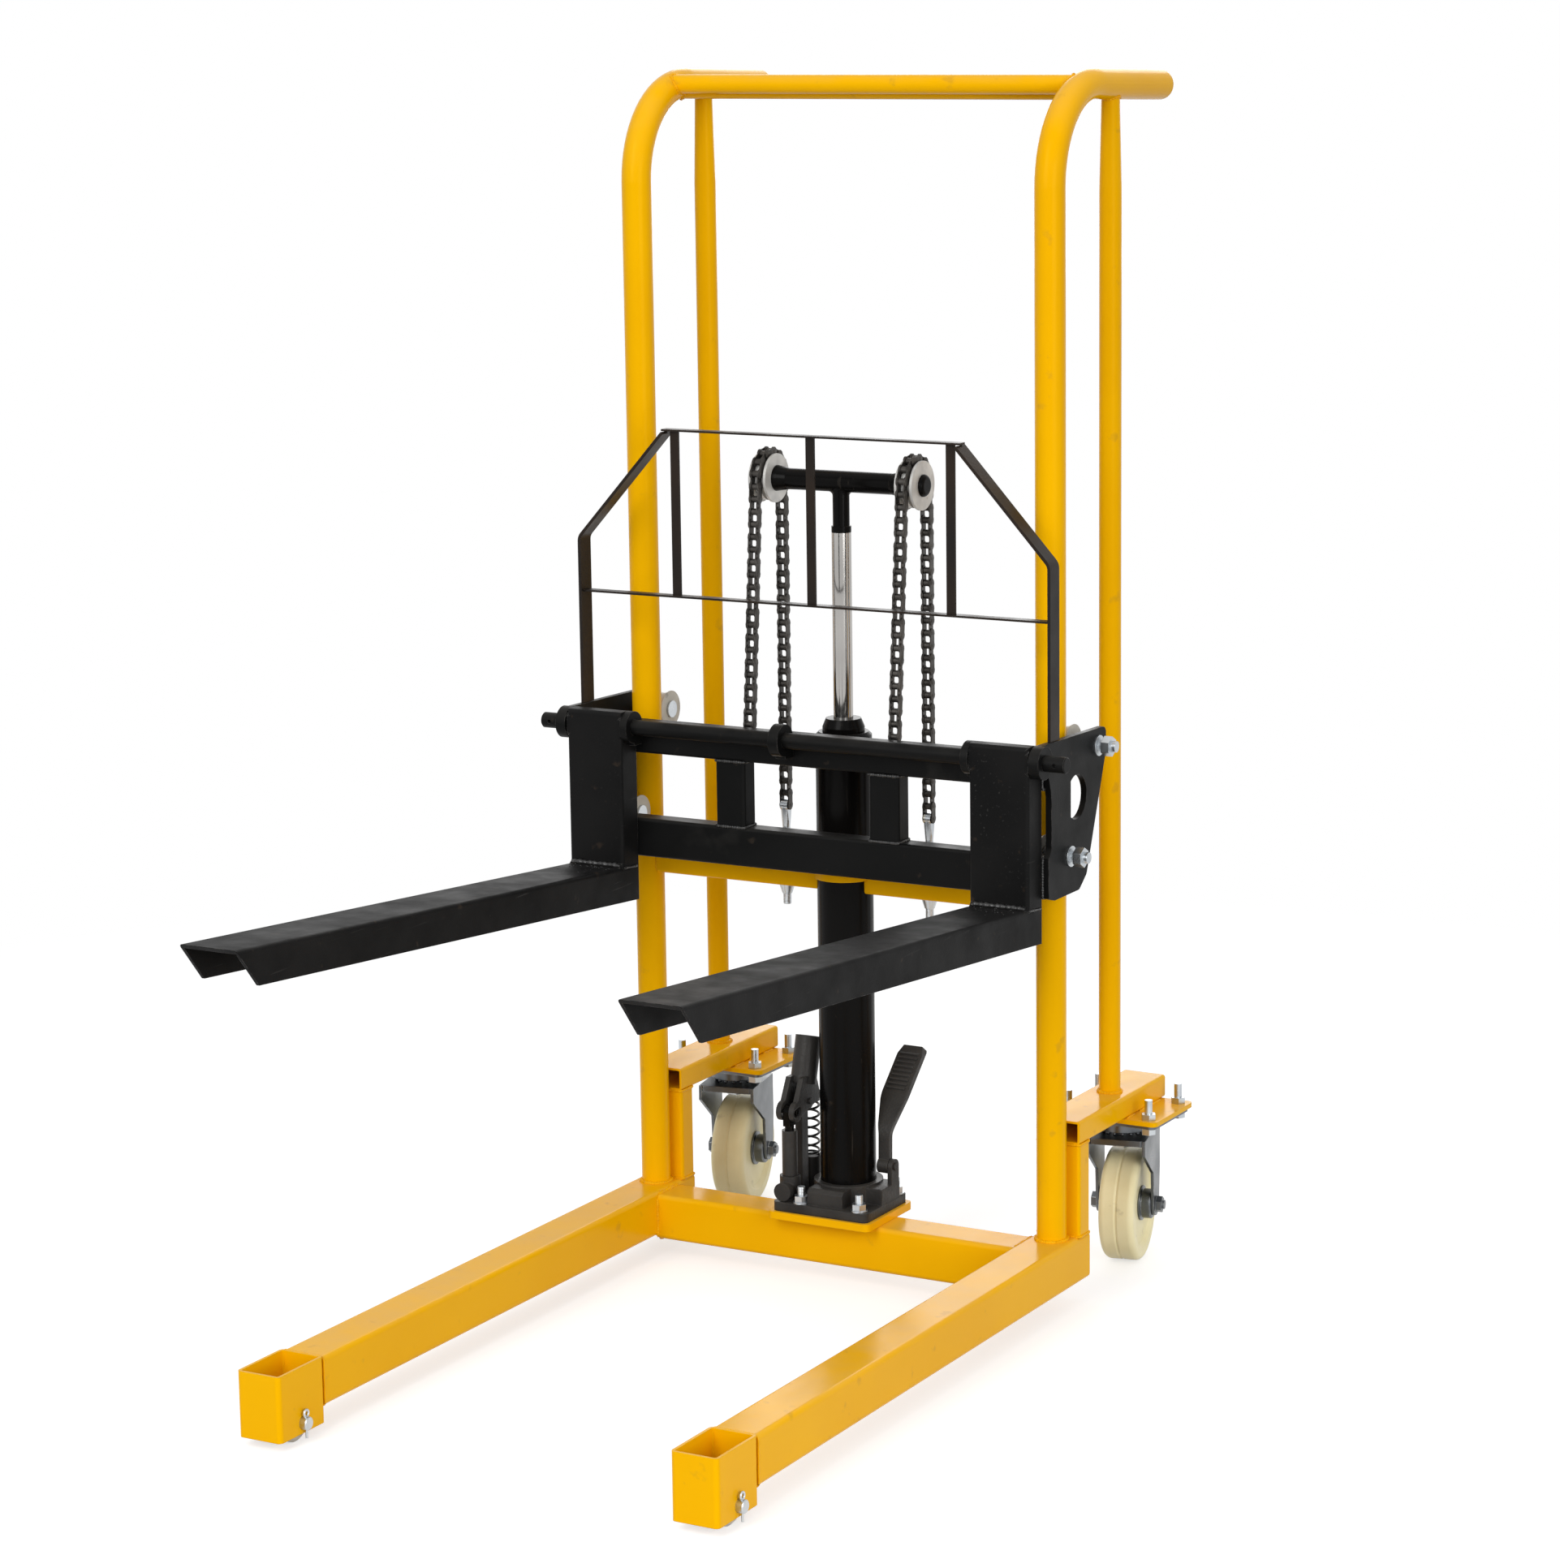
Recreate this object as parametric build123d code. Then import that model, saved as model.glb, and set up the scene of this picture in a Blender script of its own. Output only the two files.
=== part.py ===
from build123d import *
import os
from math import acos, atan2, cos, degrees, pi, radians, sin, sqrt, tan

# Stance: X across, the fork tips point to -Y, the operator stands at +Y, Z up from the floor.
# While the parts are drawn, X = 0 and Y = 0 are the axis of the lifting cylinder.
upright_gap = 583.0
half_gap = upright_gap / 2

# Fits, as radial or face clearances
pin_fit = 0.05
running_fit = 0.06
moving_gap = 0.4

# Floor legs and the boxes that hold the front rollers
leg_size = 60.0
leg_wall = 4.0
leg_corner = 6.0
leg_top = 91.0
leg_rear = 49.0
box_front = -889.0
box_length = 89.0
box_bottom = 12.0
box_top = 92.0
box_rear = box_front + box_length
front_roller_radius = 25.0
front_roller_width = 44.0
front_roller_edge = 4.0
front_axle_radius = 8.0
front_axle_stand = 9.0
front_axle_y = box_front + box_length / 2
split_pin_radius = 1.6
split_pin_eye = 4.0
split_pin_leg = 15.0
split_pin_inset = 4.5

# Cross beam between the legs and the plate that carries the pump
beam_front = -48.0
beam_size = 60.0
beam_top = 87.0
pump_plate_thick = 10.0
pump_mid_x = -7.0
pump_mid_y = -11.0
pump_plate_lip = 5.0
flange_width = 138.0
flange_depth = 114.0
flange_thick = 12.0
flange_corner = 8.0
plate_top = beam_top + pump_plate_thick
flange_top = plate_top + flange_thick

# Uprights, bent back at the top into two handles, and the bars between them
upright_radius = 19.0
upright_wall = 3.0
bend_radius = 120.0
handle_height = 1532.0
handle_slope = 2.0
handle_rear = 324.0
plug_length = 8.0
plug_round = 6.5
plug_spigot = 20.0
plug_shrink = 0.2
plug_fit = 0.3
plug_seat = 0.05
bar_radius = 12.0
bar_y = 84.0
bar_drop = 4.0
bar_z = handle_height - bar_drop
lower_bar_radius = 10.0
lower_bar_y = 106.5
lower_bar_drop = 13.5
lower_bar_z = handle_height - lower_bar_drop
bar_wall = 2.0

# Rear stays, the posts behind the uprights and the arms over the casters
stay_radius = 14.0
stay_neck_radius = 11.0
stay_neck_drop = 132.0
stay_neck_z = handle_height - stay_neck_drop
stay_wall = 2.5
stay_y = 172.0
stock_width = 60.0
stock_depth = 30.0
stock_wall = 3.0
stock_corner = 4.0
arm_front = upright_radius
arm_rear = 279.0

# Casters: plate on the arm, ball race, yoke and nylon wheel
caster_y = 214.0
caster_turn = 12.0
caster_trail = 26.0
caster_plate_width = 146.0
caster_plate_length = 120.0
caster_plate_thick = 6.0
caster_plate_corner = 8.0
caster_top_thick = 5.0
caster_top_shrink = 8.0
caster_hole_x = 57.0
caster_hole_y = 46.0
caster_bolt_radius = 5.0
caster_bolt_rise = 26.0
caster_nut_flats = 17.0
caster_nut_thick = 8.0
race_radius = 33.0
race_height = 17.0
ball_radius = 2.8
ball_circle = 27.0
ball_count = 16
crown_thick = 8.0
crown_half_y = 44.0
kingpin_radius = 8.0
kingpin_nut_flats = 24.0
kingpin_nut_thick = 10.0
wheel_radius = 75.0
wheel_width = 47.0
wheel_edge = 8.0
wheel_groove = 1.6
wheel_groove_half = 2.5
wheel_web_half = 18.0
wheel_rim_inner = 58.0
wheel_rim_slope = 6.0
wheel_hub_radius = 19.0
wheel_hub_half = 34.4
yoke_inner_half = 35.0
yoke_thick = 4.0
yoke_eye_radius = 15.0
yoke_waist_half = 19.0
yoke_waist_rise = 47.0
yoke_waist_z = wheel_radius + yoke_waist_rise
yoke_skirt = 12.0
axle_radius = 6.0
axle_nut_flats = 19.0
axle_nut_thick = 8.0
axle_end = 3.0
caster_headroom = 62.0
arm_bottom = 2 * wheel_radius + caster_headroom
arm_top = arm_bottom + stock_depth
caster_plate_bottom = arm_bottom - caster_plate_thick
caster_top_bottom = caster_plate_bottom - caster_top_thick
race_bottom = caster_top_bottom - race_height
ball_z = race_bottom - ball_radius
crown_top = ball_z - ball_radius - moving_gap

# Lifting cylinder, rod and the gland nut on top
cylinder_radius = 36.0
cylinder_bore = 30.0
cylinder_foot = 112.0
cylinder_top = 721.0
cylinder_cap = 20.0
cylinder_chamfer = 4.0
gland_bore_radius = 20.0
gland_low_radius = 27.0
gland_high_radius = 22.5
gland_height = 17.0
gland_band = 6.0
rod_radius = 12.5
rod_top = 975.0
rod_spigot_radius = 7.0
rod_spigot = 18.0
piston_bottom = 360.0
piston_height = 40.0
piston_spigot_radius = 9.0

# Lift head: cross tube on a stem, with a chain sheave at each end
stem_length = 64.0
head_z = rod_top + stem_length
head_radius = 13.5
head_axle_radius = 10.0
head_cap_radius = 14.0
head_cap = 6.0
head_dome = 5.0
head_flare_radius = 16.5
head_flare = 18.0
stem_radius = 10.7
stem_collar_radius = 12.6
stem_collar = 8.0
stem_round = 6.0
sheave_x = 104.0
washer_radius = 31.0
washer_thick = 3.5
washer_gap = 0.4
sheave_hub_radius = 24.0
sheave_hub_half = 8.4

# Roller chain, one each side
chain_pitch = 15.875
chain_teeth = 13
chain_circle = chain_pitch / 2 / sin(pi / chain_teeth)
chain_roller_radius = 4.25
chain_pin_radius = 2.5
chain_bush_gap = 0.1
chain_inner_half = 3.25
chain_plate_thick = 1.8
chain_plate_gap = 0.12
chain_plate_radius = 6.4
chain_waist_half = 4.4
chain_pin_stand = 0.5
chain_lean = 4.5
chain_rear_links = 27
chain_front_links = 20
chain_sheave_gap = 0.35

# Chain anchor bar between the uprights, clasped round the cylinder
anchor_drop = 96.375
anchor_bottom = head_z - chain_rear_links * chain_pitch - anchor_drop
anchor_height = 30.0
anchor_front = -12.0
anchor_rear = 48.0
anchor_half = 274.0
anchor_wall = 3.5
anchor_corner = 4.0
strap_thick = 4.0
strap_height = 12.0
stud_radius = 5.0
stud_eye_radius = 7.5
stud_neck = 20.0
stud_below = 34.0
stud_cone_radius = 13.0
stud_cone_tip = 6.5
stud_cone_height = 20.0
stud_nut_flats = 17.0
stud_nut_thick = 8.0

# Carriage rails, posts and side plates
rail_front = -100.0
rail_depth = 30.0
rail_wall = 3.0
rail_corner = 4.0
rail_below_head = 309.0
upper_rail_top = head_z - rail_below_head
upper_rail_height = 40.0
rail_spread = 175.0
lower_rail_bottom = upper_rail_top - rail_spread
lower_rail_height = 50.0
rail_post_x = 110.0
rail_post_width = 42.0
rail_post_depth = 29.0
side_inner = 329.0
side_thick = 8.0
shaft_y = -121.0
shaft_drop = 3.0
shaft_z = upper_rail_top - shaft_drop
shaft_radius = 10.0
shaft_end = 372.0
shaft_cross_hole = 2.5
shaft_cross_inset = 13.0
ear_radius = 20.4
boss_length = 6.0
side_hole_radius = 28.0
side_hole_y = -21.0
side_hole_drop = 62.0
side_hole_z = upper_rail_top - side_hole_drop
side_hole_flat = -38.0
side_top_rise = 13.0
side_shoulder_drop = 26.0
side_foot_rise = 11.0
side_foot_drop = 5.0
side_rear_top = (64.0, upper_rail_top + side_top_rise)
side_rear_low = (60.0, upper_rail_top - side_shoulder_drop)
side_foot_rear = (7.0, lower_rail_bottom + side_foot_rise)
side_foot = (-14.0, lower_rail_bottom - side_foot_drop)
side_foot_front = (-84.0, lower_rail_bottom - side_foot_drop)
side_tab_rear = -92.0
side_round = 9.0
lug_thick = 10.0
lug_mid_thick = 14.0
lug_mid_x = -24.0
lug_height = 24.0

# Guide rollers on the uprights
guide_reach = 40.0
guide_radius = 24.0
guide_width = 24.0
guide_gap = 0.5
guide_upper_drop = 8.0
guide_lower_rise = 42.0
guide_upper_z = upper_rail_top - guide_upper_drop
guide_lower_z = lower_rail_bottom + guide_lower_rise
guide_bolt_radius = 7.0
guide_spacer_radius = 10.5
guide_keeper = 2.6
guide_keeper_radius = 11.0
guide_washer_radius = 13.0
guide_washer_thick = 2.5
guide_bolt_show = 6.0
guide_nut_flats = 22.0
guide_nut_thick = 11.0
guide_bolt_end = 6.0
guide_seat = 0.5

# Chain tabs behind the upper rail
tab_thick = 3.0
tab_round = 7.0
tab_depth = 14.0

# Forks
fork_x = 287.5
fork_width = 80.0
fork_wall = 4.0
fork_top_thick = 5.0
fork_round = 5.0
fork_rise = 4.5
fork_depth = 45.0
fork_heel_drop = 11.4
fork_heel_z = lower_rail_bottom - fork_heel_drop
fork_tip_y = -955.0
fork_bevel = 40.0
heel_weld = 5.0
heel_weld_root = 1.0
shank_front = -138.0
shank_rear = -100.5
shank_wall = 5.0
shank_round = 5.0

# Load backrest
rest_post_x = 333.0
rest_y = -78.0
rest_width = 25.0
rest_thick = 4.0
rest_bend_rise = 232.0
rest_bend_z = upper_rail_top + rest_bend_rise
rest_top_x = 207.0
rest_top_rise = 370.0
rest_top_z = upper_rail_top + rest_top_rise
rest_bend = 14.0
rest_strip_width = 14.0
rest_strip_thick = 2.5
rest_mid_rise = 161.0
rest_mid_z = upper_rail_top + rest_mid_rise
rest_slat_x = 195.0
rest_slat_width = 12.0
rest_slat_thick = 3.0

# Pump: base casting, barrel, plunger, lever socket, spring and release pedal
base_ring_radius = 45.0
base_ring_height = 24.0
block_left = -27.0
block_right = 24.0
block_front = -62.0
block_rear = -20.0
block_height = 22.0
block_chamfer = 5.0
shoulder_front = -24.0
shoulder_rear = 24.0
shoulder_drop = 3.0
barrel_x = -62.0
barrel_y = -44.0
barrel_radius = 10.0
barrel_foot = 140.0
barrel_top = 200.0
barrel_boss_radius = 13.5
plunger_radius = 6.0
plunger_bottom = 120.0
plunger_shoulder = 206.0
plunger_floor = 112.0
tongue_thick = 10.0
tongue_half = 8.0
plunger_pin_z = 225.0
pump_pin_radius = 4.0
valve_radius = 12.0
valve_front = -66.0
valve_z = 122.0
post_half_y = 8.0
pivot_y = -12.0
pivot_z = 232.0
pivot_round = 10.0
cheek_gap = 0.8
cheek_thick = 7.0
slot_half = 5.3
slot_near = 29.0
slot_far = 38.0
socket_radius = 17.0
socket_bore = 14.0
socket_lean = 15.0
socket_low = 22.0
socket_high = 84.0
socket_floor = 34.0
spring_y = 14.0
spring_seat = 152.0
spring_top = 230.0
spring_radius = 10.0
spring_wire = 1.5
spring_turns = 6
spring_boss_radius = 12.0
spring_cup = 5.0
spring_steps = 4
pedal_pin_y = 13.0
pedal_pin_z = 152.0
pedal_pin_radius = 5.0
pedal_hub_radius = 10.0
pedal_hub_left = 39.5
pedal_hub_right = 55.0
pedal_lug_left = 55.6
pedal_lug_right = 61.6
pedal_pad_left = 28.0
pedal_pad_right = 64.0
pedal_thick = 9.0
pedal_knee = (14.0, 198.0)
pedal_toe = (46.0, 240.0)
pedal_tip = (98.0, 289.0)
pedal_round = 30.0
pedal_pad_low = 236.0
pedal_arm_high = 194.0
pedal_taper_round = 30.0
pedal_corner = 6.0
rib_radius = 1.8
rib_count = 9
base_stud_spots = ((46.0, -57.0), (-38.5, -57.0), (50.0, 36.0), (-66.0, 37.0))
base_stud_radius = 5.0
base_stud_rise = 22.0
base_washer_radius = 11.0
base_washer_thick = 2.0
base_nut_flats = 17.0
base_nut_thick = 8.0

# The middle of the length, from the fork tips to the handle ends, goes to Y = 0
length_shift = -(fork_tip_y + handle_rear) / 2


def block(x0, x1, y0, y1, z0, z1):
    return Pos((x0 + x1) / 2, (y0 + y1) / 2, (z0 + z1) / 2) * Box(x1 - x0, y1 - y0, z1 - z0)


def rod_x(radius, x0, x1, y, z):
    return Pos((x0 + x1) / 2, y, z) * Rot(0, 90, 0) * Cylinder(radius, x1 - x0)


def rod_y(radius, y0, y1, x, z):
    return Pos(x, (y0 + y1) / 2, z) * Rot(90, 0, 0) * Cylinder(radius, y1 - y0)


def rod_z(radius, z0, z1, x, y):
    return Pos(x, y, (z0 + z1) / 2) * Cylinder(radius, z1 - z0)


def hex_x(flats, x0, x1, y, z):
    return Pos(x0, y, z) * Rot(0, 90, 0) * extrude(RegularPolygon(flats / 2, 6, major_radius=False), x1 - x0)


def hex_z(flats, z0, z1, x, y):
    return Pos(x, y, z0) * extrude(RegularPolygon(flats / 2, 6, major_radius=False), z1 - z0)


def box_tube(width, depth, wall, corner, length):
    outer = RectangleRounded(width, depth, corner)
    inner = RectangleRounded(width - 2 * wall, depth - 2 * wall, max(corner - wall, wall / 4))
    return extrude(outer - inner, length)


def tube_y(width, height, wall, corner, y0, y1, x, z):
    return Pos(x, y0, z) * Rot(-90, 0, 0) * box_tube(width, height, wall, corner, y1 - y0)


def tube_x(depth, height, wall, corner, x0, x1, y, z):
    return Pos(x0, y, z) * Rot(0, 90, 0) * box_tube(height, depth, wall, corner, x1 - x0)


def turned_x(points, x, y, z):
    return Pos(x, y, z) * revolve(make_face(Polyline(*points, close=True)), Axis.X)


def turned_z(points):
    return revolve(Plane.XZ * make_face(Polyline(*points, close=True)), Axis.Z)


def side_shape(points, x0, x1):
    return Pos(x0, 0, 0) * extrude(Plane.YZ * make_face(Polyline(*points, close=True)), x1 - x0)


def both(maker):
    return [maker(-1), maker(1)]


def export(name, shapes):
    solids = shapes if isinstance(shapes, list) else [shapes]
    loose = [piece for shape in solids for piece in shape.solids()]
    group = loose[0] if len(loose) == 1 else Compound(children=loose)
    export_step(Pos(0, length_shift, 0) * group, f"parts/{name}.step")
    print(name, len(loose), "solid(s), volume", round(sum(piece.volume for piece in loose) / 1000, 1), "cm3")


os.makedirs("parts", exist_ok=True)

# Legs, front boxes, beam and pump plate
export("legs", both(lambda s: tube_y(leg_size, leg_size, leg_wall, leg_corner, box_rear, leg_rear,
                                     s * half_gap, leg_top - leg_size / 2)))


def wheel_box(side):
    shell = Pos(side * half_gap, front_axle_y, box_bottom) * box_tube(
        leg_size, box_length, leg_wall, leg_corner, box_top - box_bottom)
    return shell - rod_x(front_axle_radius + pin_fit, side * half_gap - leg_size, side * half_gap + leg_size,
                         front_axle_y, front_roller_radius)


export("wheel_boxes", both(wheel_box))


def front_axle(side):
    half = leg_size / 2 + front_axle_stand
    pin = rod_x(front_axle_radius, side * half_gap - half, side * half_gap + half, front_axle_y,
                front_roller_radius)
    pin = chamfer(pin.edges().filter_by(GeomType.CIRCLE), front_axle_radius / 8)
    ends = [side * half_gap - half + split_pin_inset, side * half_gap + half - split_pin_inset]
    pieces = []
    for x in ends:
        pin -= rod_z(split_pin_radius + pin_fit, 0, 2 * front_roller_radius, x, front_axle_y)
        top = front_roller_radius + front_axle_radius
        eye = Rot(0, 90, 0) * Torus(split_pin_eye, split_pin_radius)
        eye = Pos(x, front_axle_y, top + split_pin_eye) * eye
        leg = rod_z(split_pin_radius, top - 2 * split_pin_leg + front_axle_radius / 2, top, x, front_axle_y)
        pieces.append(leg + eye)
    return Compound(children=[pin] + pieces)


export("front_axles", both(front_axle))


def front_roller(side):
    half = front_roller_width / 2
    points = [(-half, front_axle_radius + running_fit), (-half, front_roller_radius - front_roller_edge),
              (-half + front_roller_edge, front_roller_radius),
              (half - front_roller_edge, front_roller_radius),
              (half, front_roller_radius - front_roller_edge), (half, front_axle_radius + running_fit)]
    return turned_x(points, side * half_gap, front_axle_y, front_roller_radius)


export("front_roller_left", front_roller(-1))
export("front_roller_right", front_roller(1))

leg_inside = half_gap - leg_size / 2
export("cross_beam", tube_x(beam_size, beam_size, leg_wall, leg_corner, -leg_inside, leg_inside,
                            beam_front + beam_size / 2, beam_top - beam_size / 2))


def stud_holes(shape):
    for x, y in base_stud_spots:
        shape -= rod_z(base_stud_radius + pin_fit, beam_top, flange_top, x, y)
    return shape


pump_plate = Pos(pump_mid_x, pump_mid_y, beam_top) * extrude(
    RectangleRounded(flange_width + 2 * pump_plate_lip, flange_depth + 2 * pump_plate_lip, flange_corner),
    pump_plate_thick)
export("pump_plate", stud_holes(pump_plate))


# Uprights with their handles, end plugs and bars
handle_fall = tan(radians(handle_slope))


def upright_path(x, end):
    return FilletPolyline((x, 0, leg_top), (x, 0, handle_height), (x, end, handle_height - end * handle_fall),
                          radius=bend_radius)


def upright_tube(x, radius, end):
    return sweep(Plane((x, 0, leg_top)) * Circle(radius), path=upright_path(x, end))


tube_end = handle_rear - plug_length


def upright(side):
    x = side * half_gap
    bore = upright_radius - upright_wall
    return upright_tube(x, upright_radius, tube_end) - upright_tube(x, bore, tube_end)


export("upright_left", upright(-1))
export("upright_right", upright(1))


def handle_plug(side):
    disc = rod_z(upright_radius - plug_shrink, plug_seat, plug_length, 0, 0)
    disc = fillet(disc.edges().filter_by(GeomType.CIRCLE).sort_by(Axis.Z)[-1], plug_round)
    plug = disc + rod_z(upright_radius - upright_wall - plug_fit, -plug_spigot, plug_seat, 0, 0)
    mouth = (side * half_gap, tube_end, handle_height - tube_end * handle_fall)
    return Plane(mouth, z_dir=(0, 1, -handle_fall)) * plug


export("handle_plugs", both(handle_plug))

upright_cores = {side: upright_tube(side * half_gap, upright_radius, tube_end) for side in (-1, 1)}


def coped_bar(radius, y, z):
    bar = rod_x(radius, -half_gap, half_gap, y, z) - rod_x(radius - bar_wall, -half_gap, half_gap, y, z)
    for core in upright_cores.values():
        bar -= core
    return max(bar.solids(), key=lambda piece: piece.volume)


export("handle_bars", [coped_bar(bar_radius, bar_y, bar_z),
                       coped_bar(lower_bar_radius, lower_bar_y, lower_bar_z)])


def stay(side):
    outer = [(0, arm_top), (stay_radius, arm_top), (stay_radius, stay_neck_z),
             (stay_neck_radius, handle_height), (0, handle_height)]
    inner = [(0, arm_top), (stay_radius - stay_wall, arm_top), (stay_radius - stay_wall, stay_neck_z),
             (stay_neck_radius - stay_wall, handle_height), (0, handle_height)]
    shape = Pos(side * half_gap, stay_y, 0) * (turned_z(outer) - turned_z(inner))
    shape -= upright_cores[side]
    return max(shape.solids(), key=lambda piece: piece.volume)


export("stays", both(stay))
export("caster_posts", both(lambda s: Pos(s * half_gap, leg_rear - stock_depth / 2, leg_top) * box_tube(
    stock_width, stock_depth, stock_wall, stock_corner, arm_bottom - leg_top)))
export("caster_arms", both(lambda s: tube_y(stock_width, stock_depth, stock_wall, stock_corner, arm_front,
                                            arm_rear,
                                            s * half_gap, (arm_bottom + arm_top) / 2)))

# Casters
caster_spots = [(x, y) for x in (-caster_hole_x, caster_hole_x) for y in (-caster_hole_y, caster_hole_y)]


def drilled(shape, x, z0, z1):
    for dx, dy in caster_spots:
        shape -= rod_z(caster_bolt_radius + pin_fit, z0, z1, x + dx, caster_y + dy)
    return shape


def caster_plate(side):
    x = side * half_gap
    plate = Pos(x, caster_y, caster_plate_bottom) * extrude(
        RectangleRounded(caster_plate_width, caster_plate_length, caster_plate_corner), caster_plate_thick)
    return drilled(plate, x, caster_plate_bottom, arm_bottom)


export("caster_plates", both(caster_plate))


def caster_race(side):
    x = side * half_gap
    top = Pos(x, caster_y, caster_top_bottom) * extrude(
        RectangleRounded(caster_plate_width - caster_top_shrink, caster_plate_length - caster_top_shrink,
                         caster_plate_corner), caster_top_thick)
    top = drilled(top, x, caster_top_bottom, caster_plate_bottom)
    cup = rod_z(race_radius, race_bottom, caster_top_bottom, x, caster_y)
    body = top + cup - rod_z(kingpin_radius + pin_fit, race_bottom, caster_plate_bottom, x, caster_y)
    balls = [Pos(x + ball_circle * cos(2 * pi * k / ball_count),
                 caster_y + ball_circle * sin(2 * pi * k / ball_count),
                 ball_z) * Sphere(ball_radius) for k in range(ball_count)]
    return Compound(children=[body] + balls)


export("caster_races", both(caster_race))

crown_bottom = crown_top - crown_thick
kingpin_nut_top = crown_bottom - moving_gap


def caster_bolts(side):
    x = side * half_gap
    pieces = []
    for dx, dy in caster_spots:
        shank = rod_z(caster_bolt_radius, caster_top_bottom, arm_bottom + caster_bolt_rise, x + dx,
                      caster_y + dy)
        head = hex_z(caster_nut_flats, caster_top_bottom - caster_nut_thick, caster_top_bottom, x + dx,
                     caster_y + dy)
        nut = hex_z(caster_nut_flats, arm_bottom, arm_bottom + caster_nut_thick, x + dx, caster_y + dy)
        nut -= rod_z(caster_bolt_radius + pin_fit, arm_bottom, arm_bottom + caster_nut_thick, x + dx,
                     caster_y + dy)
        pieces += [shank + head, nut]
    pin = rod_z(kingpin_radius, kingpin_nut_top - kingpin_nut_thick, caster_plate_bottom, x, caster_y)
    pin += hex_z(kingpin_nut_flats, kingpin_nut_top - kingpin_nut_thick, kingpin_nut_top, x, caster_y)
    return Compound(children=pieces + [pin])


export("caster_bolts", both(caster_bolts))


def caster_place(side):
    return Pos(side * half_gap, caster_y, 0) * Rot(0, 0, caster_turn)


def caster_yoke(side):
    outer = yoke_inner_half + yoke_thick
    crown = block(-outer, outer, -crown_half_y, crown_half_y, crown_bottom, crown_top)
    crown = crown & rod_z(sqrt(outer ** 2 + crown_half_y ** 2) - yoke_thick, crown_bottom, crown_top, 0, 0)
    crown -= rod_z(kingpin_radius + running_fit, crown_bottom, crown_top, 0, 0)
    legs = []
    for x0 in (-outer, yoke_inner_half):
        web = [(-crown_half_y, crown_top), (crown_half_y, crown_top),
               (crown_half_y, crown_bottom - yoke_skirt),
               (caster_trail + yoke_waist_half, yoke_waist_z), (caster_trail + yoke_eye_radius, wheel_radius),
               (caster_trail - yoke_eye_radius, wheel_radius), (caster_trail - yoke_waist_half, yoke_waist_z),
               (-crown_half_y, crown_bottom - yoke_skirt)]
        legs.append(side_shape(web, x0, x0 + yoke_thick)
                    + rod_x(yoke_eye_radius, x0, x0 + yoke_thick, caster_trail, wheel_radius))
    yoke = crown + legs[0] + legs[1] - rod_x(axle_radius + pin_fit, -outer, outer, caster_trail, wheel_radius)
    axle = rod_x(axle_radius, -outer, outer + axle_nut_thick + axle_end, caster_trail, wheel_radius)
    axle += hex_x(axle_nut_flats, -outer - axle_nut_thick, -outer, caster_trail, wheel_radius)
    nut = hex_x(axle_nut_flats, outer, outer + axle_nut_thick, caster_trail, wheel_radius)
    nut -= rod_x(axle_radius + pin_fit, outer, outer + axle_nut_thick, caster_trail, wheel_radius)
    return caster_place(side) * Compound(children=[yoke, axle, nut])


export("caster_yoke_left", caster_yoke(-1))
export("caster_yoke_right", caster_yoke(1))


def caster_wheel(side):
    half = wheel_width / 2
    right = [(wheel_groove_half, wheel_radius), (half, wheel_radius),
             (half, wheel_rim_inner), (wheel_web_half, wheel_rim_inner - wheel_rim_slope),
             (wheel_web_half, wheel_hub_radius), (wheel_hub_half, wheel_hub_radius - wheel_groove),
             (wheel_hub_half, axle_radius + running_fit)]
    left = [(-x, r) for x, r in reversed(right)]
    wheel = turned_x(left + [(0, wheel_radius - wheel_groove)] + right, 0, caster_trail, wheel_radius)
    tread_edges = [edge for edge in wheel.edges().filter_by(GeomType.CIRCLE)
                   if abs(edge.center().X) > wheel_web_half and edge.radius > wheel_rim_inner]
    return caster_place(side) * fillet(tread_edges, wheel_edge)


export("caster_wheel_left", caster_wheel(-1))
export("caster_wheel_right", caster_wheel(1))

# Chain anchor bar with its strap round the cylinder
anchor_top = anchor_bottom + anchor_height
anchor_bar = tube_x(anchor_rear - anchor_front, anchor_height, anchor_wall, anchor_corner, -anchor_half,
                    anchor_half,
                    (anchor_front + anchor_rear) / 2, (anchor_bottom + anchor_top) / 2)
strap = rod_z(cylinder_radius + pin_fit + strap_thick, anchor_top - strap_height, anchor_top, 0, 0)
anchor_bar = anchor_bar + strap - rod_z(cylinder_radius + pin_fit, anchor_bottom, anchor_top, 0, 0)
for side in (-1, 1):
    anchor_bar -= rod_z(upright_radius, anchor_bottom, anchor_top, side * half_gap, 0)
    anchor_bar -= rod_z(stud_radius + pin_fit, anchor_bottom, anchor_top, side * sheave_x, chain_circle)
export("anchor_bar", anchor_bar)

# Chain path: up from the anchor stud, over the sheave and down to the carriage
chain_step = 2 * pi / chain_teeth
lean = radians(chain_lean)
arc_links = int((pi + lean) / chain_step) + 1
lean_point = Vector(-chain_circle * cos(lean), head_z - chain_circle * sin(lean))
lean_way = Vector(-sin(lean), -cos(lean))
last_turn = (arc_links - 1) * chain_step
reach = lean_point - Vector(chain_circle * cos(last_turn), head_z + chain_circle * sin(last_turn))
front_start = sqrt(reach.dot(lean_way) ** 2 - reach.dot(reach) + chain_pitch ** 2) - reach.dot(lean_way)


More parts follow.
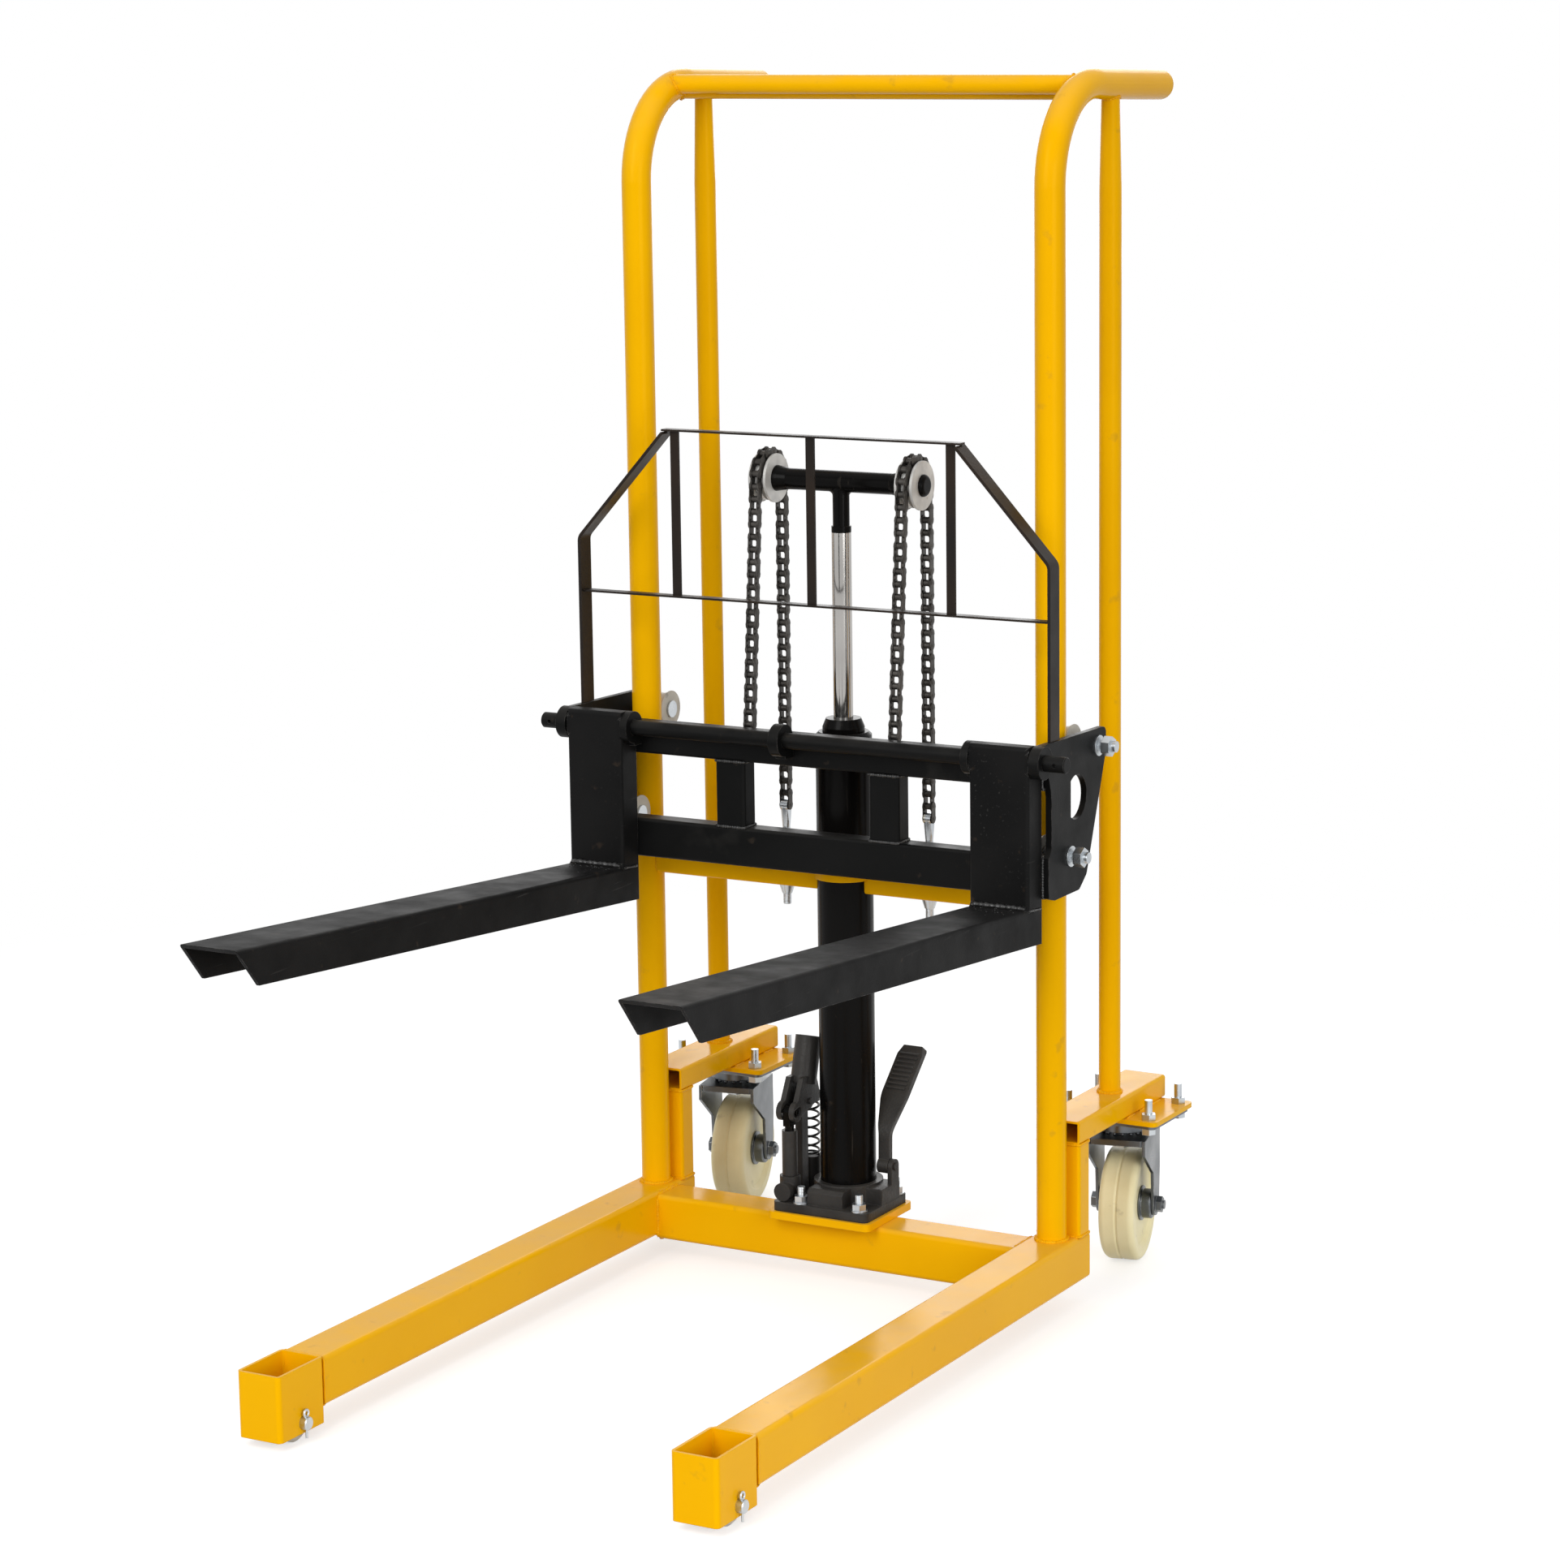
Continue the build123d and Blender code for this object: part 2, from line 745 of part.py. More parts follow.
def chain_pin(index):
    if index <= chain_rear_links:
        return chain_circle, head_z - (chain_rear_links - index) * chain_pitch
    turn = (index - chain_rear_links) * chain_step
    if index < chain_rear_links + arc_links:
        return chain_circle * cos(turn), head_z + chain_circle * sin(turn)
    run = front_start + (index - chain_rear_links - arc_links) * chain_pitch
    point = lean_point + lean_way * run
    return point.X, point.Y


def link_plate(x0, x1):
    outline = Circle(chain_plate_radius) + Pos(0, chain_pitch) * Circle(chain_plate_radius)
    outline += Pos(0, chain_pitch / 2) * Rectangle(2 * chain_waist_half, chain_pitch)
    return Pos(x0, 0, 0) * extrude(Plane.YZ * outline, x1 - x0)


chain_inner_outer = chain_inner_half + chain_plate_thick
chain_outer_inner = chain_inner_outer + chain_plate_gap
chain_outer_outer = chain_outer_inner + chain_plate_thick
chain_pin_half = chain_outer_outer + chain_pin_stand


def inner_link():
    shape = link_plate(-chain_inner_outer, -chain_inner_half)
    shape += link_plate(chain_inner_half, chain_inner_outer)
    for z in (0, chain_pitch):
        shape += rod_x(chain_roller_radius, -chain_inner_half, chain_inner_half, 0, z)
    for z in (0, chain_pitch):
        shape -= rod_x(chain_pin_radius + chain_bush_gap, -chain_inner_outer, chain_inner_outer, 0, z)
    return shape


def outer_link():
    shape = link_plate(-chain_outer_outer, -chain_outer_inner)
    shape += link_plate(chain_outer_inner, chain_outer_outer)
    for z in (0, chain_pitch):
        shape += rod_x(chain_pin_radius, -chain_pin_half, chain_pin_half, 0, z)
    return shape


link_kinds = (outer_link(), inner_link())


def chain_links(side, first, last):
    links = []
    for index in range(first, last):
        y0, z0 = chain_pin(index)
        y1, z1 = chain_pin(index + 1)
        tilt = degrees(atan2(-(y1 - y0), z1 - z0))
        links.append(Pos(side * sheave_x, y0, z0) * Rot(tilt, 0, 0) * link_kinds[index % 2])
    return links


chain_front_first = chain_rear_links + arc_links
chain_last = chain_front_first + chain_front_links
export("chain_rear", chain_links(-1, 0, chain_rear_links) + chain_links(1, 0, chain_rear_links))
export("chain_wraps", chain_links(-1, chain_rear_links, chain_front_first)
       + chain_links(1, chain_rear_links, chain_front_first))
export("chain_front", chain_links(-1, chain_front_first, chain_last)
       + chain_links(1, chain_front_first, chain_last))

# Anchor studs with their eyes in the lowest rear links
stud_eye_z = chain_pin(0)[1]
eye_half = chain_outer_inner - chain_plate_gap


def anchor_stud(side):
    x = side * sheave_x
    neck_low = stud_eye_z - stud_eye_radius - stud_neck
    shank = rod_z(stud_radius, anchor_bottom - stud_below, neck_low, x, chain_circle)
    neck = Pos(x, chain_circle, (neck_low + stud_eye_z) / 2) * Cone(
        stud_radius, stud_eye_radius, stud_eye_z - neck_low)
    neck += rod_x(stud_eye_radius, x - stud_eye_radius, x + stud_eye_radius, chain_circle, stud_eye_z)
    neck = neck & block(x - eye_half, x + eye_half, chain_circle - stud_eye_radius,
                        chain_circle + stud_eye_radius,
                        neck_low, stud_eye_z + stud_eye_radius)
    stud = shank + neck - rod_x(chain_pin_radius + pin_fit, x - eye_half, x + eye_half, chain_circle,
                                stud_eye_z)
    cone_low = anchor_bottom - stud_cone_height
    cone = Pos(x, chain_circle, cone_low + stud_cone_height / 2) * Cone(stud_cone_tip, stud_cone_radius,
                                                                       stud_cone_height)
    cone -= rod_z(stud_radius + pin_fit, cone_low, anchor_bottom, x, chain_circle)
    nut = hex_z(stud_nut_flats, anchor_top, anchor_top + stud_nut_thick, x, chain_circle)
    nut -= rod_z(stud_radius + pin_fit, anchor_top, anchor_top + stud_nut_thick, x, chain_circle)
    return Compound(children=[stud, cone, nut])


export("anchor_studs", both(anchor_stud))

# Cylinder, gland nut, rod and piston
cylinder = turned_z([(cylinder_bore, cylinder_foot), (cylinder_radius, cylinder_foot),
                     (cylinder_radius, cylinder_top - cylinder_chamfer),
                     (cylinder_radius - cylinder_chamfer, cylinder_top), (gland_bore_radius, cylinder_top),
                     (gland_bore_radius, cylinder_top - cylinder_cap),
                     (cylinder_bore, cylinder_top - cylinder_cap)])
export("cylinder_tube", cylinder)
gland_top = cylinder_top + gland_height
gland_bore = rod_radius + running_fit
gland = turned_z([(gland_bore, cylinder_top - cylinder_cap),
                  (gland_bore_radius - pin_fit, cylinder_top - cylinder_cap),
                  (gland_bore_radius - pin_fit, cylinder_top), (gland_low_radius, cylinder_top),
                  (gland_low_radius, cylinder_top + gland_band), (gland_high_radius, gland_top),
                  (gland_bore, gland_top)])
export("gland_nut", gland)
piston_top = piston_bottom + piston_height
export("ram_rod", rod_z(rod_radius, piston_top, rod_top, 0, 0)
       + rod_z(piston_spigot_radius, piston_bottom, piston_top, 0, 0)
       + rod_z(rod_spigot_radius, rod_top, rod_top + rod_spigot, 0, 0))
export("ram_piston", rod_z(cylinder_bore - running_fit, piston_bottom, piston_top, 0, 0)
       - rod_z(piston_spigot_radius + pin_fit, piston_bottom, piston_top, 0, 0))

# Lift head with its sheaves and washers
washer_inner = sheave_hub_half + washer_gap
washer_outer = washer_inner + washer_thick
head_half = sheave_x - washer_outer
axle_half = sheave_x + washer_outer
head = rod_x(head_radius, -head_half, head_half, 0, head_z)
stem = rod_z(stem_radius, rod_top, head_z, 0, 0)
head = head + stem
joint_edges = [edge for edge in head.edges() if head_z - head_radius - stem_round < edge.center().Z < head_z
               and abs(edge.center().X) < stem_radius]
head = fillet(joint_edges, stem_round)
head += rod_z(stem_collar_radius, rod_top, rod_top + stem_collar, 0, 0)
head += rod_x(head_axle_radius, -axle_half, axle_half, 0, head_z)
for side in (-1, 1):
    head += turned_x([(side * (head_half - head_flare), 0), (side * (head_half - head_flare), head_radius),
                      (side * head_half, head_flare_radius), (side * head_half, 0)], 0, 0, head_z)
    cap = rod_x(head_cap_radius, *sorted((side * axle_half, side * (axle_half + head_cap))), 0, head_z)
    cap_rim = max(cap.edges().filter_by(GeomType.CIRCLE), key=lambda edge: side * edge.center().X)
    head += fillet(cap_rim, head_dome)
head -= rod_z(rod_spigot_radius + pin_fit, rod_top, rod_top + rod_spigot, 0, 0)
export("ram_head", head)


def head_washer(x0):
    x1 = x0 + washer_thick
    bore = head_axle_radius + pin_fit
    return rod_x(washer_radius, x0, x1, 0, head_z) - rod_x(bore, x0, x1, 0, head_z)


export("head_washers", [head_washer(side * sheave_x + x)
                        for side in (-1, 1) for x in (-washer_outer, washer_inner)])

sheave_radius = chain_circle - chain_roller_radius - chain_sheave_gap
sheave_tread_half = chain_inner_half - chain_sheave_gap


def sheave(side):
    bore = head_axle_radius + running_fit
    points = [(-sheave_hub_half, bore), (-sheave_hub_half, sheave_hub_radius),
              (-sheave_tread_half, sheave_hub_radius),
              (-sheave_tread_half, sheave_radius), (sheave_tread_half, sheave_radius),
              (sheave_tread_half, sheave_hub_radius), (sheave_hub_half, sheave_hub_radius),
              (sheave_hub_half, bore)]
    return turned_x(points, side * sheave_x, 0, head_z)


export("sheave_left", sheave(-1))
export("sheave_right", sheave(1))

# Carriage rails, posts and side plates
rail_mid_y = rail_front + rail_depth / 2
rail_rear = rail_front + rail_depth
export("upper_rail", tube_x(rail_depth, upper_rail_height, rail_wall, rail_corner, -side_inner, side_inner,
                            rail_mid_y, upper_rail_top - upper_rail_height / 2))
export("lower_rail", tube_x(rail_depth, lower_rail_height, rail_wall, rail_corner, -side_inner, side_inner,
                            rail_mid_y, lower_rail_bottom + lower_rail_height / 2))
lower_rail_top = lower_rail_bottom + lower_rail_height
upper_rail_bottom = upper_rail_top - upper_rail_height
rail_post = box_tube(rail_post_width, rail_post_depth, rail_wall, rail_corner,
                     upper_rail_bottom - lower_rail_top)
rail_post_y = rail_front + rail_post_depth / 2
export("rail_posts", both(lambda s: Pos(s * rail_post_x, rail_post_y, lower_rail_top) * rail_post))

side_outer = side_inner + side_thick
guide_spots = ((guide_reach, guide_upper_z), (-guide_reach, guide_lower_z))


def side_plate(side):
    outline = [(shaft_y, shaft_z + ear_radius), side_rear_top, side_rear_low, side_foot_rear, side_foot,
               side_foot_front, (rail_front, lower_rail_bottom), (rail_front, lower_rail_top),
               (side_tab_rear, lower_rail_top + side_round), (side_tab_rear, upper_rail_bottom - side_round),
               (rail_front, shaft_z - ear_radius), (shaft_y, shaft_z - ear_radius)]
    x0, x1 = side_inner, side_outer
    plate = side_shape(outline, x0, x1)
    corners = [edge for edge in plate.edges().filter_by(Axis.X)
               if edge.center().Y > side_foot_front[0] - side_round and edge.center().Z < side_rear_low[1]
               or edge.center().Y > guide_reach]
    plate = fillet(corners, side_round)
    plate += rod_x(ear_radius, x0, x1 + boss_length, shaft_y, shaft_z)
    hole = rod_x(side_hole_radius, x0, x1, side_hole_y, side_hole_z)
    hole = hole & block(x0, x1, side_hole_flat, side_hole_y + side_hole_radius,
                        side_hole_z - side_hole_radius,
                        side_hole_z + side_hole_radius)
    plate -= hole
    plate -= rod_x(shaft_radius + pin_fit, x0, x1 + boss_length, shaft_y, shaft_z)
    for y, z in guide_spots:
        plate -= rod_x(guide_bolt_radius + pin_fit, x0, x1, y, z)
    return plate if side > 0 else mirror(plate, Plane.YZ)


export("side_plate_left", side_plate(-1))
export("side_plate_right", side_plate(1))

shaft = rod_x(shaft_radius, -shaft_end, shaft_end, shaft_y, shaft_z)
shaft = chamfer(shaft.edges().filter_by(GeomType.CIRCLE), shaft_cross_hole / 2)
for side in (-1, 1):
    shaft -= rod_y(shaft_cross_hole, shaft_y - 2 * shaft_radius, shaft_y + 2 * shaft_radius,
                   side * (shaft_end - shaft_cross_inset), shaft_z)
export("hanger_shaft", shaft)


def shaft_lug(x0, x1):
    lug = rod_x(ear_radius, x0, x1, shaft_y, shaft_z)
    lug += block(x0, x1, shaft_y, rail_front, shaft_z - lug_height, upper_rail_top)
    lug = lug & block(x0, x1, shaft_y - ear_radius, rail_front, shaft_z - lug_height, shaft_z + ear_radius)
    return lug - rod_x(shaft_radius + pin_fit, x0, x1, shaft_y, shaft_z)


fork_inside = fork_x - fork_width / 2 - moving_gap
export("shaft_lugs", [shaft_lug(-fork_inside, -fork_inside + lug_thick),
                      shaft_lug(fork_inside - lug_thick, fork_inside),
                      shaft_lug(lug_mid_x - lug_mid_thick / 2, lug_mid_x + lug_mid_thick / 2)])

tab_y, tab_z = chain_pin(chain_last)


def chain_tab(side):
    x = side * sheave_x
    plates = []
    for x0 in (-chain_outer_inner - tab_thick, chain_outer_inner):
        plate = rod_x(tab_round, x + x0, x + x0 + tab_thick, tab_y, tab_z)
        plate += block(x + x0, x + x0 + tab_thick, rail_rear, tab_y, tab_z - tab_depth, tab_z + tab_round)
        plates.append(plate - rod_x(chain_pin_radius + pin_fit, x + x0, x + x0 + tab_thick, tab_y, tab_z))
    half = chain_outer_inner + tab_thick + chain_pin_stand
    return Compound(children=plates + [rod_x(chain_pin_radius, x - half, x + half, tab_y, tab_z)])


export("chain_tabs", both(chain_tab))

# Guide rollers and their bolts
guide_inner = half_gap - guide_width / 2
guide_outer = half_gap + guide_width / 2


def guide_roller(side, y, z):
    x = side * half_gap
    roller = rod_x(guide_radius, x - guide_width / 2, x + guide_width / 2, y, z)
    roller -= Pos(x, y, z) * Rot(0, 90, 0) * Torus(guide_reach, upright_radius + guide_gap)
    return roller - rod_x(guide_bolt_radius + running_fit, x - guide_width / 2, x + guide_width / 2, y, z)


for label, side in (("left", -1), ("right", 1)):
    export(f"guide_upper_{label}", guide_roller(side, *guide_spots[0]))
    export(f"guide_lower_{label}", guide_roller(side, *guide_spots[1]))

nut_from = side_outer + guide_washer_thick + guide_bolt_show
nut_to = nut_from + guide_nut_thick


def guide_bolt(y, z):
    keeper = guide_inner - guide_seat
    bolt = rod_x(guide_bolt_radius, keeper - guide_keeper, nut_to + guide_bolt_end, y, z)
    bolt += rod_x(guide_keeper_radius, keeper - guide_keeper, keeper, y, z)
    bolt += rod_x(guide_spacer_radius, guide_outer + guide_seat, side_inner, y, z)
    washer = rod_x(guide_washer_radius, side_outer, side_outer + guide_washer_thick, y, z)
    washer -= rod_x(guide_bolt_radius + pin_fit, side_outer, side_outer + guide_washer_thick, y, z)
    nut = hex_x(guide_nut_flats, nut_from, nut_to, y, z)
    nut -= rod_x(guide_bolt_radius + pin_fit, nut_from, nut_to, y, z)
    return [bolt, washer, nut]


right_bolts = [piece for spot in guide_spots for piece in guide_bolt(*spot)]
export("guide_bolts", right_bolts + [mirror(piece, Plane.YZ) for piece in right_bolts])

# Forks: an inverted channel blade welded under a channel shank that hangs on the shaft
rise = radians(fork_rise)
blade_run = shank_rear - fork_tip_y
fork_tip_z = fork_heel_z + blade_run * tan(rise)
blade_drop = fork_depth / cos(rise)
skin_drop = fork_top_thick / cos(rise)


def blade_z(y, drop):
    return fork_heel_z + (shank_rear - y) * tan(rise) - drop


def fork(side):
    x0, x1 = -fork_width / 2, fork_width / 2
    heel_low = (shank_rear, fork_heel_z - blade_drop)
    bevel = (fork_tip_y + fork_bevel, blade_z(fork_tip_y + fork_bevel, blade_drop))
    blade = side_shape([heel_low, (shank_rear, fork_heel_z), (fork_tip_y, fork_tip_z), bevel], x0, x1)
    long_edges = [edge for edge in blade.edges()
                  if edge.length > blade_run / 2 and edge.center().Z > fork_heel_z]
    blade = fillet(long_edges, fork_round)
    past_heel, past_tip = shank_rear + fork_depth, fork_tip_y - fork_depth
    hollow = side_shape([(past_heel, blade_z(past_heel, 2 * blade_drop)),
                         (past_heel, blade_z(past_heel, skin_drop)),
                         (past_tip, blade_z(past_tip, skin_drop)),
                         (past_tip, blade_z(past_tip, 2 * blade_drop))],
                        x0 + fork_wall, x1 - fork_wall)
    blade -= hollow
    top = shaft_z + ear_radius
    shank = block(x0, x1, shank_front, shaft_y, fork_heel_z, top)
    front_edges = [edge for edge in shank.edges() if abs(edge.center().Y - shank_front) < moving_gap
                   and edge.center().Z > fork_heel_z + moving_gap]
    shank = fillet(front_edges, shank_round)
    shank += block(x0, x1, shaft_y, shank_rear, fork_heel_z - skin_drop, shaft_z)
    shank += rod_x(ear_radius, x0, x1, shaft_y, shaft_z)
    shank = shank & block(x0, x1, shank_front, shank_rear, fork_heel_z - skin_drop, top)
    inner = block(x0 + shank_wall, x1 - shank_wall, shank_front + shank_wall, shank_rear,
                  fork_heel_z + shank_wall, shaft_z - ear_radius)
    body = blade + (shank - inner)
    toe_y = shank_front - heel_weld
    root_y = shank_front + heel_weld_root
    root_z = blade_z(shank_front, heel_weld_root)
    weld_top = blade_z(shank_front, -heel_weld)
    body += side_shape([(toe_y, blade_z(toe_y, 0)), (shank_front, weld_top), (root_y, weld_top),
                        (root_y, root_z), (toe_y, blade_z(toe_y, heel_weld_root))],
                       x0 + fork_round / 2, x1 - fork_round / 2)
    body -= rod_x(shaft_radius + running_fit, x0, x1, shaft_y, shaft_z)
    return Pos(side * fork_x, 0, 0) * body


export("fork_left", fork(-1))
export("fork_right", fork(1))

# Load backrest: two bent posts with strips and slats
side_top_line = (side_rear_top[1] - shaft_z - ear_radius) / (side_rear_top[0] - shaft_y)
rest_foot = shaft_z + ear_radius + (rest_y - rest_width / 2 - shaft_y) * side_top_line


def bent_bar(points, radius, thick):
    return trace(FilletPolyline(*points, radius=radius), line_width=thick)


def rest_post(side):
    points = [(side * rest_post_x, rest_foot), (side * rest_post_x, rest_bend_z),
              (side * rest_top_x, rest_top_z)]
    bar = extrude(Plane.XZ * bent_bar(points, rest_bend, rest_thick), -rest_width)
    return Pos(0, rest_y - rest_width / 2, 0) * bar


export("backrest_posts", both(rest_post))


def rest_strip(half, z):
    return block(-half, half, rest_y - rest_strip_width / 2, rest_y + rest_strip_width / 2, z,
                 z + rest_strip_thick)


slat_low = rest_mid_z + rest_strip_thick
strip_top = rest_top_z + rest_thick / 2
export("backrest_bars", [rest_strip(rest_top_x + rest_thick, strip_top),
                         rest_strip(rest_post_x - rest_thick / 2, rest_mid_z)]
       + [block(x - rest_slat_width / 2, x + rest_slat_width / 2, rest_y - rest_slat_thick / 2,
                rest_y + rest_slat_thick / 2, slat_low, strip_top) for x in (-rest_slat_x, 0, rest_slat_x)])

# Pump base casting
flange = Pos(pump_mid_x, pump_mid_y, plate_top) * extrude(
    RectangleRounded(flange_width, flange_depth, flange_corner), flange_thick)
base = flange + rod_z(base_ring_radius, flange_top, flange_top + base_ring_height, 0, 0)
front_block = block(block_left, block_right, block_front, block_rear, flange_top, flange_top + block_height)
block_edge = front_block.edges().filter_by(Axis.X).group_by(Axis.Z)[-1].sort_by(Axis.Y)[0]
front_block = chamfer(block_edge, block_chamfer)
base += front_block
base += block(0, pedal_lug_right, shoulder_front, shoulder_rear, flange_top,
              flange_top + base_ring_height - shoulder_drop)
base += rod_z(barrel_boss_radius, flange_top, barrel_foot, barrel_x, barrel_y)
base += rod_y(valve_radius, valve_front, barrel_y, barrel_x, valve_z)
base += rod_z(spring_boss_radius, flange_top, spring_seat, barrel_x, spring_y)
tongue_left = barrel_x - tongue_thick / 2
tongue_right = barrel_x + tongue_thick / 2
base += block(tongue_left, tongue_right, pivot_y - post_half_y, pivot_y + post_half_y, flange_top, pivot_z)
base += rod_x(pivot_round, tongue_left, tongue_right, pivot_y, pivot_z)
base += block(pedal_lug_left, pedal_lug_right, pedal_pin_y - pedal_hub_radius, pedal_pin_y + pedal_hub_radius,
              flange_top, pedal_pin_z)
base += rod_x(pedal_hub_radius, pedal_lug_left, pedal_lug_right, pedal_pin_y, pedal_pin_z)
base -= rod_z(cylinder_radius + pin_fit, cylinder_foot, flange_top + base_ring_height, 0, 0)
base -= rod_z(plunger_radius + running_fit, plunger_floor, barrel_foot, barrel_x, barrel_y)
base -= rod_x(pump_pin_radius + pin_fit, tongue_left, tongue_right, pivot_y, pivot_z)
base -= rod_x(pedal_pin_radius + pin_fit, pedal_lug_left, pedal_lug_right, pedal_pin_y, pedal_pin_z)
export("pump_base", stud_holes(base))

export("pump_barrel", rod_z(barrel_radius, barrel_foot, barrel_top, barrel_x, barrel_y)
       - rod_z(plunger_radius + running_fit, barrel_foot, barrel_top, barrel_x, barrel_y))

base_studs = []
for x, y in base_stud_spots:
    nut_low = flange_top + base_washer_thick
    base_studs.append(rod_z(base_stud_radius, beam_top, flange_top + base_stud_rise, x, y))
    washer = rod_z(base_washer_radius, flange_top, nut_low, x, y)
    nut = hex_z(base_nut_flats, nut_low, nut_low + base_nut_thick, x, y)
    hole = rod_z(base_stud_radius + pin_fit, flange_top, nut_low + base_nut_thick, x, y)
    base_studs += [washer - hole, nut - hole]
export("base_studs", base_studs)

cheek_inner = tongue_thick / 2 + cheek_gap
cheek_outer = cheek_inner + cheek_thick
plunger = rod_z(plunger_radius, plunger_bottom, plunger_shoulder, barrel_x, barrel_y)
plunger += block(tongue_left, tongue_right, barrel_y - tongue_half, barrel_y + tongue_half, plunger_shoulder,
                 plunger_pin_z)
plunger += rod_x(tongue_half, tongue_left, tongue_right, barrel_y, plunger_pin_z)
plunger += rod_x(pump_pin_radius, barrel_x - cheek_outer, barrel_x + cheek_outer, barrel_y, plunger_pin_z)
export("pump_plunger", plunger)

pin_over = 2.0
export("pivot_pins", [rod_x(pump_pin_radius, barrel_x - cheek_outer - pin_over,
                            barrel_x + cheek_outer + pin_over,
                            pivot_y, pivot_z),
                      rod_x(pedal_pin_radius, pedal_hub_left - pin_over, pedal_lug_right + pin_over,
                            pedal_pin_y, pedal_pin_z)])

# Lever socket: two cheeks on the pivot with a tube that takes the pump handle
slot_tilt = atan2(plunger_pin_z - pivot_z, pivot_y - barrel_y)
cup_z = spring_top


def cheek(x0, x1):
    plate = rod_x(pivot_round, x0, x1, pivot_y, pivot_z)
    plate += rod_x(pivot_round + slot_half / 2, x0, x1, barrel_y, plunger_pin_z)
    plate += side_shape([(barrel_y, plunger_pin_z - pivot_round), (spring_y, cup_z),
                         (spring_y, cup_z + pivot_round), (pivot_y + socket_radius, pivot_z + socket_floor),
                         (pivot_y - socket_radius, pivot_z + socket_floor),
                         (barrel_y, plunger_pin_z + pivot_round + slot_half / 2)], x0, x1)
    plate -= rod_x(pump_pin_radius + running_fit, x0, x1, pivot_y, pivot_z)
    slot = block(x0, x1, -slot_far, -slot_near, -slot_half, slot_half)
    slot += rod_x(slot_half, x0, x1, -slot_far, 0) + rod_x(slot_half, x0, x1, -slot_near, 0)
    return plate - Pos(0, pivot_y, pivot_z) * Rot(-degrees(slot_tilt), 0, 0) * slot


lever = cheek(barrel_x - cheek_outer, barrel_x - cheek_inner)
lever += cheek(barrel_x + cheek_inner, barrel_x + cheek_outer)
lever += block(barrel_x - cheek_outer, barrel_x + cheek_outer, spring_y - spring_cup, spring_y + spring_cup,
               cup_z, cup_z + pivot_round)
lever += rod_z(spring_boss_radius, cup_z, cup_z + spring_cup, barrel_x, spring_y)
socket_place = Pos(barrel_x, pivot_y, pivot_z) * Rot(-socket_lean, 0, 0)
lever += socket_place * rod_z(socket_radius, socket_low, socket_high, 0, 0)
lever -= socket_place * rod_z(socket_bore, socket_floor, socket_high, 0, 0)
export("pump_lever", lever)


# Return spring as one unbroken tube along pairs of tangent arcs
def arc_middle(start, tangent, end):
    chord = end - start
    axis = chord.normalized()
    side = tangent - axis * tangent.dot(axis)
    half_angle = acos(max(-1.0, min(1.0, tangent.dot(axis))))
    return start + chord * 0.5 + side.normalized() * (chord.length / 2 * tan(half_angle / 2))


def biarc(p0, t0, p1, t1):
    span = p1 - p0
    both_ways = t0 + t1
    slack = 2 * (1 - t0.dot(t1))
    along = span.dot(both_ways)
    reach = (sqrt(along ** 2 + slack * span.dot(span)) - along) / slack
    middle = (p0 + t0 * reach + p1 - t1 * reach) * 0.5
    turned = (p1 - t1 * reach - p0 - t0 * reach).normalized()
    first = ThreePointArc(p0, arc_middle(p0, t0, middle), middle)
    second = ThreePointArc(middle, arc_middle(middle, turned, p1), p1)
    return [first, second]


coil_low = spring_seat + spring_wire
coil_high = spring_top - spring_wire - moving_gap
coil_pitch = (coil_high - coil_low) / spring_turns


def coil_point(turn):
    angle = 2 * pi * turn
    return Vector(barrel_x + spring_radius * cos(angle), spring_y + spring_radius * sin(angle),
                  coil_low + coil_pitch * turn)


def coil_tangent(turn):
    angle = 2 * pi * turn
    return Vector(-2 * pi * spring_radius * sin(angle), 2 * pi * spring_radius * cos(angle),
                  coil_pitch).normalized()


coil_edges = []
for step in range(spring_turns * spring_steps):
    a, b = step / spring_steps, (step + 1) / spring_steps
    coil_edges += biarc(coil_point(a), coil_tangent(a), coil_point(b), coil_tangent(b))
coil_path = Wire(coil_edges)
coil_start = Plane(origin=coil_point(0), z_dir=coil_tangent(0))
spring = sweep(coil_start * Circle(spring_wire), path=coil_path)
export("pump_spring", spring)
print("spring self gap", round(coil_pitch * cos(atan2(coil_pitch, 2 * pi * spring_radius)) - 2 * spring_wire,
                               2),
      "mm, tube radius", spring_wire)

# Release pedal with its ribbed pad
pedal_start = (pedal_pin_y, pedal_pin_z)
pedal = Pos(pedal_pad_left, 0, 0) * extrude(
    Plane.YZ * bent_bar([pedal_start, pedal_knee, pedal_toe, pedal_tip], pedal_round, pedal_thick),
    pedal_pad_right - pedal_pad_left)
taper = [(pedal_hub_left, pedal_pin_z), (pedal_hub_left, pedal_arm_high), (pedal_pad_left, pedal_pad_low),
         (pedal_pad_left, pedal_tip[1] - pedal_corner),
         (pedal_pad_left + pedal_corner, pedal_tip[1] + pedal_corner),
         (pedal_pad_right - pedal_corner, pedal_tip[1] + pedal_corner),
         (pedal_pad_right, pedal_tip[1] - pedal_corner), (pedal_pad_right, pedal_pad_low),
         (pedal_hub_right, pedal_arm_high), (pedal_hub_right, pedal_pin_z)]
blade_front = make_face(Polyline(*taper, close=True))
blade_front = fillet([v for v in blade_front.vertices() if pedal_pin_z < v.Y < pedal_tip[1] - pedal_thick],
                     pedal_taper_round)
pedal = pedal & extrude(Plane.XZ * blade_front, 2 * pedal_tip[0], both=True)
pedal += rod_x(pedal_hub_radius, pedal_hub_left, pedal_hub_right, pedal_pin_y, pedal_pin_z)
pad_dy, pad_dz = pedal_tip[0] - pedal_toe[0], pedal_tip[1] - pedal_toe[1]
